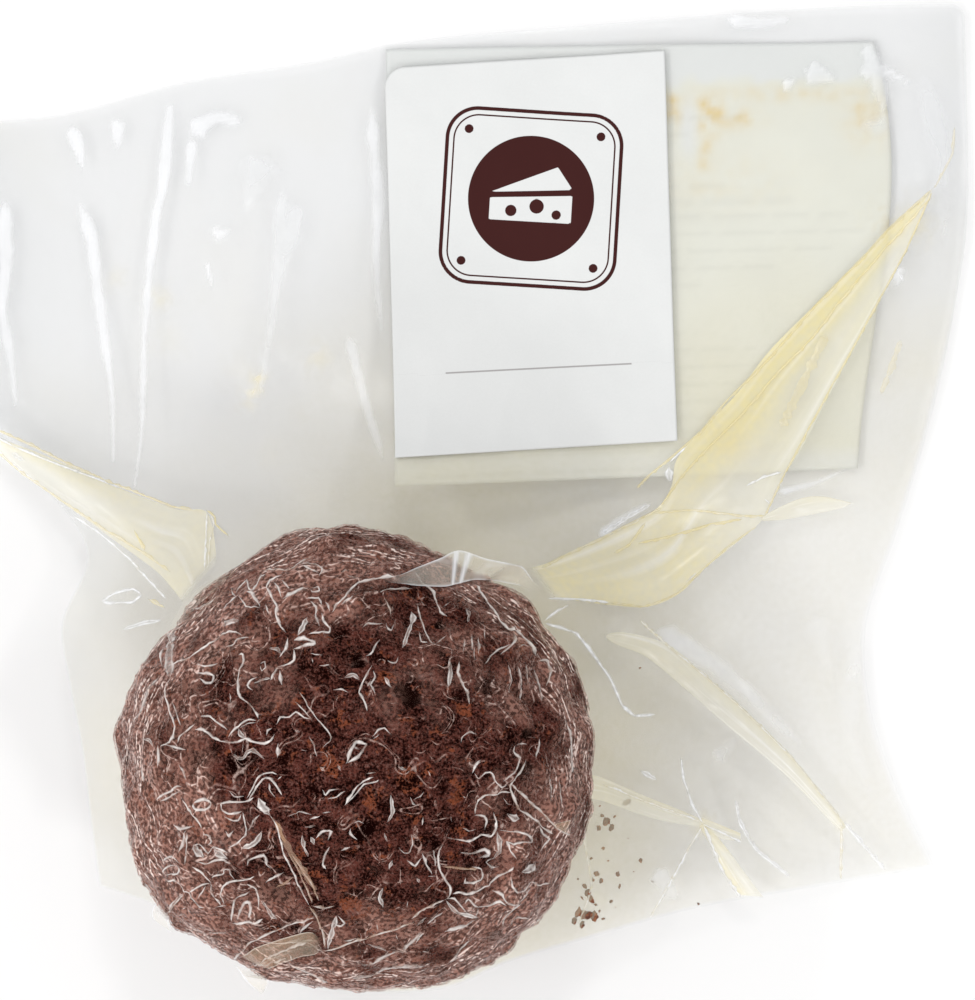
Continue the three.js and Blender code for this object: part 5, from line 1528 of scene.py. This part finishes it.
# ---- Operators ---------------------------------------------------------------------------------
class CHEESE_OT_finishes(bpy.types.Operator):
    """Builds the shared effects and the finishes"""
    bl_idname = "cheese.finishes"
    bl_label = "Finishes"

    def execute(self, context):
        ball, film, label, _ = settings(context)
        build_groups()

        _, tree, shader = new_material("crust")
        grain = placed(tree, "crust_grain", Dark=tuple(ball.dark), Brown=tuple(ball.brown),
                       Rust=tuple(ball.rust), Pale=tuple(ball.pale), Depth=of_points(tree, "depth"),
                       Rusty=of_points(tree, "rusty"))
        plug(tree, shader, Base_Color=grain["Color"], Roughness=0.5, Specular_IOR_Level=0.0,
             Normal=bumped(tree, grain["Height"], 0.8))

        _, tree, shader = new_material("crumb")
        grain = placed(tree, "crust_grain", Dark=(0.10, 0.03, 0.014), Brown=(0.27, 0.085, 0.035),
                       Rust=(0.36, 0.13, 0.05), Pale=(0.4, 0.2, 0.12), Depth=0.3, Rusty=0.6)
        plug(tree, shader, Base_Color=grain["Color"], Roughness=0.6,
             Normal=bumped(tree, grain["Height"], 0.3))

        ball_film_material()
        flat_film_material("flat_film", film.haze, film.clear, film.oily)
        for name, finish in FILM_FINISHES.items():
            flat_film_material(name, *finish)

        _, tree, shader = new_material("white_paper")
        frame_line, rule = (stepped(tree, maths(tree, "ABSOLUTE", of_points(tree, line)), 0.2, 0.12)
                            for line in ("frame_line", "rule"))
        ink = maths(tree, "MAXIMUM", stepped(tree, of_points(tree, "ink"), -0.06, 0.06),
                    maths(tree, "MAXIMUM", frame_line, product(tree, rule, 0.5)))
        paper = placed(tree, "paper_fibre", Paper=tuple(label.white), Mottle=0.05)
        plug(tree, shader, Base_Color=mixed(tree, ink, paper["Color"], tuple(label.ink)), Roughness=0.6,
             Specular_IOR_Level=0.2, Normal=bumped(tree, paper["Height"], 0.02))

        _, tree, shader = new_material("ivory_paper")
        paper = placed(tree, "paper_fibre", Paper=tuple(label.ivory), Mottle=0.07)
        oiled = placed(tree, "oil_tint", Amount=of_points(tree, "oil"), Clear=paper["Color"],
                       Oily=(0.80, 0.60, 0.22))
        # Lighter paper where dry, and painted light on the strip below the front label.
        dry_and_painted_light = mixed(tree, of_points(tree, "dry_and_painted_light"), oiled["Color"], (0.80, 0.82, 0.82))
        plug(tree, shader, Base_Color=mixed(tree, of_points(tree, "print"), dry_and_painted_light, (0.42, 0.40, 0.33)),
             Roughness=0.55, Normal=bumped(tree, paper["Height"], 0.02))
        return {"FINISHED"}


class CHEESE_OT_crust(bpy.types.Operator):
    """Builds the ball's dark crust, just under the film"""
    bl_idname = "cheese.crust"
    bl_label = "Crust"

    def execute(self, context):
        ball = context.scene.cheese_ball
        directions, faces = cube_sphere(ball.crust_steps)
        base = from_centre(directions, ball_reach(directions))
        above_foot = smoothstep(base[:, 2], 0.5, 8)
        relief = 0.75 * coarse_relief(base)
        pits = 0.5 * WRINKLE(base / 3.4 + 60) + 0.32 * SECOND(base / 1.9 + 25) + 0.16 * SMALL(base / 1.1)
        share = np.clip(0.36 - 0.5 * pits, 0.05, 1)
        share = np.maximum(share, round_places(base, PITS))
        near_rim = smoothstep(directions[:, 2], 0.62, 0.25)
        depth = ball.pit_depth * share * (1 - 0.65 * near_rim)
        points = from_centre(directions, ball_reach(directions) - 0.3 + above_foot * (relief - depth))
        points[:, 2] = np.maximum(points[:, 2], 0.25)
        # depth darkens the crust's colour in its pits: painted shade.
        piece = new_piece("cheese_ball_crust", points, faces, bpy.data.materials["crust"],
                          {"depth": share, "rusty": round_places(base, RUSTY)})
        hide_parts("cheese_ball")
        return {"FINISHED"}


class CHEESE_OT_ball_film(bpy.types.Operator):
    """Builds the film that clings to the ball, with its winding wrinkles"""
    bl_idname = "cheese.ball_film"
    bl_label = "Film round the ball"

    def execute(self, context):
        film = context.scene.cheese_film
        for name, steps, reach, upward in (("film_over_ball", film.dome_steps, math.radians(107), 1),
                                           ("film_under_ball", film.foot_steps, math.radians(76), -1)):
            directions, faces = dome(steps, reach, upward)
            points, values = film_on_ball(directions)
            new_piece(name, points, faces, bpy.data.materials["film_round_ball"], values)
        return {"FINISHED"}


class CHEESE_OT_bag(bpy.types.Operator):
    """Builds the two flat sheets of the bag around the ball"""
    bl_idname = "cheese.bag"
    bl_label = "Bag sheets"

    def execute(self, context):
        film = context.scene.cheese_film
        places, faces, u, v = around_ball(film.sheet_steps)
        x, y = places.T
        white, oil = marks(x, y)
        rim = from_edge(u, v)
        closing = 1 - np.exp(-rim / 1.5)
        low = bag_lower(x, y)
        height = low + SHEET_GAP + (sheet_top(x, y) - low - SHEET_GAP) * closing
        fading = edge_fade(rim, y)
        # A thin painted highlight runs along the bag's very edge.
        values = {"white": np.maximum(white * fading, 0.12 * np.exp(-((rim / 0.5) ** 2))),
                  "oil": np.maximum(oil, creamy(x, y)) * fading, "layer": np.zeros(len(x)),
                  "thick": thickness(x, y, u) * fading}
        points, faces, values = used_only(np.stack([x, y, height], axis=1), faces, values)
        piece = new_piece("bag_upper_sheet", points, faces, bpy.data.materials["flat_film"], values)
        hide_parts("vacuum_bag")

        places, faces, u, v = around_ball(film.lower_steps)
        x, y = places.T
        rim = from_edge(u, v)
        fading = edge_fade(rim, y)
        flat = np.stack([x, y, 0 * x], axis=1)
        height = bag_lower(x, y) + SHEET_GAP + 0.15 * smoothstep(COARSE(flat / 17 + 50), -0.5, 0.8)
        values = {"white": np.zeros(len(x)), "oil": creamy(x, y) * fading, "layer": np.zeros(len(x)),
                  "thick": thickness(x, y, u) * fading}
        points, faces, values = used_only(np.stack([x, y, height], axis=1), faces[:, ::-1], values)
        new_piece("bag_lower_sheet", points, faces, bpy.data.materials["flat_film"], values)
        return {"FINISHED"}


class CHEESE_OT_folds(bpy.types.Operator):
    """Builds the folds and creases of the film, over the flat bag and over the ball"""
    bl_idname = "cheese.folds"
    bl_label = "Folds and creases"

    def execute(self, context):
        for number, (name, (side_a, side_b, lift, dense)) in enumerate(PLEATS.items()):
            points, faces, u, v = flap(side_a, side_b, lift, film_top, seed=10 * number)
            streaks = 0.5 + 0.5 * WRINKLE(np.stack([u * 2.2, v * 7, 0 * u + number], axis=1))
            patches = 0.5 + 0.5 * COARSE(points / 8)
            root = 0.5 * (1 - smoothstep(u, 0.34, 0.5))
            strip = (0.45 + 0.3 * smoothstep(u, 0.3, 0.6)) * np.exp(-((v / 0.45) ** 4))
            mottle = 0.16 * (streaks - 0.5) + 0.3 * (patches - 0.5)
            oil = dense * np.clip(0.16 + np.maximum(root, strip) + mottle, 0, 1)
            # Painted highlights: white streaks along the fold, and bright edges on the folds that lie on the
            # ball.
            white = 0.22 * smoothstep(streaks, 0.6, 0.95)
            soft = 0.25 if name in FOLDED_ON_BALL else 0.05
            ends = smoothstep(u, 0, 0.05) * smoothstep(1 - u, 0, soft)
            edges = 0.5 * np.exp(-((np.minimum(v, 1 - v) / 0.03) ** 2)) * (name in FOLDED_ON_BALL)
            values = {"white": (white + edges) * ends, "oil": oil * ends, "thick": ends,
                      "layer": ends * (0.4 if name in FOLDED_ON_BALL else 1.0)}
            finish = bpy.data.materials["film_folded_on_ball" if name in FOLDED_ON_BALL else "oiled_film"]
            new_piece("pleat_" + name, points, faces, finish, values)

        points, faces, values = joined([ribbon(line, width / 2, 0.2, white, oil, on_folds, seed=7 * i)
                                        for i, (line, width, white, oil) in enumerate(CREASES)])
        new_piece("bag_creases", points, faces, bpy.data.materials["creased_film"], values)
        points, faces, values = joined([
            ribbon(line, 0.42 * width, 0.15, white, oil, on_ball, sides=3, seed=5 * i + 300)
            for i, (line, width, white, oil) in enumerate(BALL_CREASES)])
        new_piece("ball_creases", points, faces, bpy.data.materials["film_creased_on_ball"], values)
        for name, (outer, heights, inner, white, oil) in WEBS.items():
            points, faces, u, v = web(outer, heights, inner)
            # Painted highlights: streaks across the web, and bright lines along its two edges and its ribs.
            streaks = 0.5 + 0.5 * WRINKLE(points / (5, 2.2, 5))
            edge = np.exp(-((v / 0.05) ** 2)) + 0.8 * np.exp(-(((1 - v) / 0.05) ** 2))
            for place in RIBS.get(name, ()):
                edge = np.maximum(edge, 1.3 * np.exp(-(((u - place + 0.02 * v) / 0.011) ** 2)))
            ends = smoothstep(u, 0, 0.2) * smoothstep(1 - u, 0, 0.2) * (0.45 if name == "left_arc" else 1.0)
            edge_highlight = 0.15 if name == "left_arc" else 0.6
            values = {"white": (white * (0.25 + 0.9 * smoothstep(streaks, 0.5, 0.95)) + edge_highlight * edge) * ends,
                      "oil": oil * smoothstep(u, -0.2, 0.9) * ends, "layer": ends, "thick": ends}
            new_piece("web_" + name, points, faces, bpy.data.materials["bridging_film"], values)
        return {"FINISHED"}


class CHEESE_OT_labels(bpy.types.Operator):
    """Builds the two paper labels, with a plain badge on the front one"""
    bl_idname = "cheese.labels"
    bl_label = "Labels"

    def execute(self, context):
        columns, rows = 124, 172
        u, v, x, y = label_places(FRONT_CORNERS, columns, rows, FRONT_CORNER_RADIUS)
        flat = np.stack([x, y, 0 * x], axis=1)
        upper = sheet_top(x, y) + 0.13 + 0.05 * COARSE(flat / 22 + 70)
        points, faces = slab(x, y, upper, upper - PAPER_THICKNESS, columns, rows)
        ink, frame_line, rule = badge(x, y)
        under = np.full(len(ink), 9.0)
        values = {"ink": np.concatenate([ink, -under]), "frame_line": np.concatenate([frame_line, under]),
                  "rule": np.concatenate([rule, under])}
        paper = bpy.data.materials["white_paper"]
        piece = new_piece("front_label_paper", points, faces, paper, values)
        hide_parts("front_label")

        columns, rows = 110, 100
        u, v, x, y = label_places(BACK_CORNERS, columns, rows, 0)
        x = x + BACK_BULGE * u**3 * np.sin(math.pi * v**1.6)
        upper = np.maximum(bag_lower(x, y) - 0.5, 0.16)
        points, faces = slab(x, y, upper, upper - PAPER_THICKNESS, columns, rows)
        points[:, 2] = np.maximum(points[:, 2], 0.03)
        _, oil = marks(x, y)
        flat = np.stack([x, y, 0 * x], axis=1)
        ragged = 0.75 + SMALL(flat / 2.5) + 0.6 * COARSE(flat / 5)
        stain = np.zeros(len(x))
        for (centre_x, centre_y), (reach_x, reach_y), strength in STAINS:
            away = np.hypot((x - centre_x) / reach_x, (y - centre_y) / reach_y)
            stain = np.maximum(stain, strength * np.exp(-(away**2)) * ragged)
        bars = rows_of_print(x, y, u, v)
        dry_and_painted_light = smoothstep(v + 0.02 * SMALL(flat / 4), 0.9, 0.925)
        loose = np.exp(-(np.hypot((x - 64.9) / 1.9, (y - 123.5) / 6) ** 4))
        dry_and_painted_light = np.maximum(dry_and_painted_light, 0.8 * loose)
        oil = np.clip(np.maximum(oil, stain), 0, 1)
        # Painted light: the strip of paper below the front label is lightened, as if lit, against the shade
        # there.
        dry_and_painted_light = np.maximum(dry_and_painted_light, 0.9 * smoothstep(y, 61, 57))
        values = {"oil": np.tile(oil, 2), "dry_and_painted_light": np.tile(dry_and_painted_light * 0.8, 2),
                  "print": np.concatenate([0.12 * bars, 0.8 * bars])}
        paper = bpy.data.materials["ivory_paper"]
        piece = new_piece("back_label_paper", points, faces, paper, values)
        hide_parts("back_label")
        return {"FINISHED"}


class CHEESE_OT_crumbs(bpy.types.Operator):
    """Builds the loose crumbs of crust between the sheets"""
    bl_idname = "cheese.crumbs"
    bl_label = "Crumbs"

    def execute(self, context):
        draw = np.random.default_rng(41)
        directions, faces = cube_sphere(5)
        parts = []
        for place_x, place_y, size in CRUMBS:
            size *= draw.uniform(0.6, 1.35)
            ragged = 1 + 0.55 * SECOND(directions * 1.4 + draw.uniform(0, 90, 3))
            points = directions * ragged[:, None] * size / 2 * draw.uniform((0.8, 0.55, 0.3), (1.3, 0.9, 0.5))
            turn = draw.uniform(0, 2 * math.pi)
            x = points[:, 0] * math.cos(turn) - points[:, 1] * math.sin(turn) + place_x
            y = points[:, 0] * math.sin(turn) + points[:, 1] * math.cos(turn) + place_y
            here = np.array([place_x]), np.array([place_y])
            middle = (bag_lower(*here)[0] + sheet_top(*here)[0]) / 2
            parts.append((np.stack([x, y, points[:, 2] + middle], axis=1), faces, {}))
        points, faces, _ = joined(parts)
        new_piece("crust_crumbs", points, faces, bpy.data.materials["crumb"])
        return {"FINISHED"}


class CHEESE_OT_stage(bpy.types.Operator):
    """Lays the pale floor and sets the lights and the camera"""
    bl_idname = "cheese.stage"
    bl_label = "Floor, lights and camera"

    def execute(self, context):
        stage = context.scene.cheese_stage
        scene = context.scene
        material, tree, shader = new_material("pale_floor")
        plug(tree, shader, Base_Color=(0.9, 0.9, 0.9), Roughness=0.9)
        mesh = bpy.data.meshes.new("floor")
        mesh.from_pydata([(-3, -3, 0), (3, -3, 0), (3, 3, 0), (-3, 3, 0)], [], [(0, 1, 2, 3)])
        mesh.materials.append(material)
        floor = bpy.data.objects.new("floor", mesh)
        scene.collection.objects.link(floor)

        world = bpy.data.worlds.new("soft_sky")
        world.use_nodes = True
        world.node_tree.nodes["Background"].inputs["Color"].default_value = (1, 1, 1, 1)
        world.node_tree.nodes["Background"].inputs["Strength"].default_value = stage.sky
        scene.world = world

        for number, (heading, height) in enumerate(LAMPS):
            self.lamp(scene, f"ring_lamp_{number}", heading, height, 1.25, stage.lamp_size, stage.lamp_power)
        self.lamp(scene, "large_lamp", 205, 52, 1.6, 1.0, stage.lamp_power * LARGE_LAMP_SHARE)

        camera = bpy.data.cameras.new("camera")
        camera.sensor_width = 36
        camera.lens = stage.lens
        camera.clip_end = 10
        holder = bpy.data.objects.new("camera", camera)
        holder.location = (*CAMERA_PLACE, stage.camera_height)
        scene.collection.objects.link(holder)
        scene.camera = holder
        scene.view_settings.view_transform = "Standard"
        scene.cycles.transparent_max_bounces = 10
        scene.cycles.max_bounces = 3
        scene.cycles.diffuse_bounces = 2
        scene.cycles.glossy_bounces = 1
        return {"FINISHED"}

    def lamp(self, scene, name, heading, height, away, size, power):
        light = bpy.data.lights.new(name, "AREA")
        light.shape = "SQUARE"
        light.size = size
        light.energy = power
        holder = bpy.data.objects.new(name, light)
        heading, height = math.radians(heading), math.radians(height)
        holder.location = (away * math.cos(height) * math.cos(heading),
                           away * math.cos(height) * math.sin(heading) + 0.03, away * math.sin(height) + 0.04)
        holder.rotation_euler = (math.pi / 2 - height, 0, heading + math.pi / 2)
        scene.collection.objects.link(holder)


class CHEESE_PT_panel(bpy.types.Panel):
    bl_label = "Vacuum-packed cheese"
    bl_space_type = "VIEW_3D"
    bl_region_type = "UI"
    bl_category = "Cheese"

    def draw(self, context):
        for operator in OPERATORS:
            self.layout.operator(operator.bl_idname)
        for group in settings(context):
            for name in group.__annotations__:
                self.layout.prop(group, name)


OPERATORS = (CHEESE_OT_finishes, CHEESE_OT_crust, CHEESE_OT_ball_film, CHEESE_OT_bag, CHEESE_OT_folds,
             CHEESE_OT_labels, CHEESE_OT_crumbs, CHEESE_OT_stage)
GROUPS = {"cheese_ball": BallSettings, "cheese_film": FilmSettings, "cheese_label": LabelSettings,
          "cheese_stage": StageSettings}


def register():
    for each in (*GROUPS.values(), *OPERATORS, CHEESE_PT_panel):
        bpy.utils.register_class(each)
    for name, group in GROUPS.items():
        setattr(bpy.types.Scene, name, PointerProperty(type=group))


def unregister():
    for name in GROUPS:
        delattr(bpy.types.Scene, name)
    for each in reversed((*GROUPS.values(), *OPERATORS, CHEESE_PT_panel)):
        bpy.utils.unregister_class(each)


def main():
    register()
    for operator in OPERATORS:
        getattr(bpy.ops.cheese, operator.bl_idname.split(".")[1])()
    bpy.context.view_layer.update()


if __name__ == "__main__":
    main()
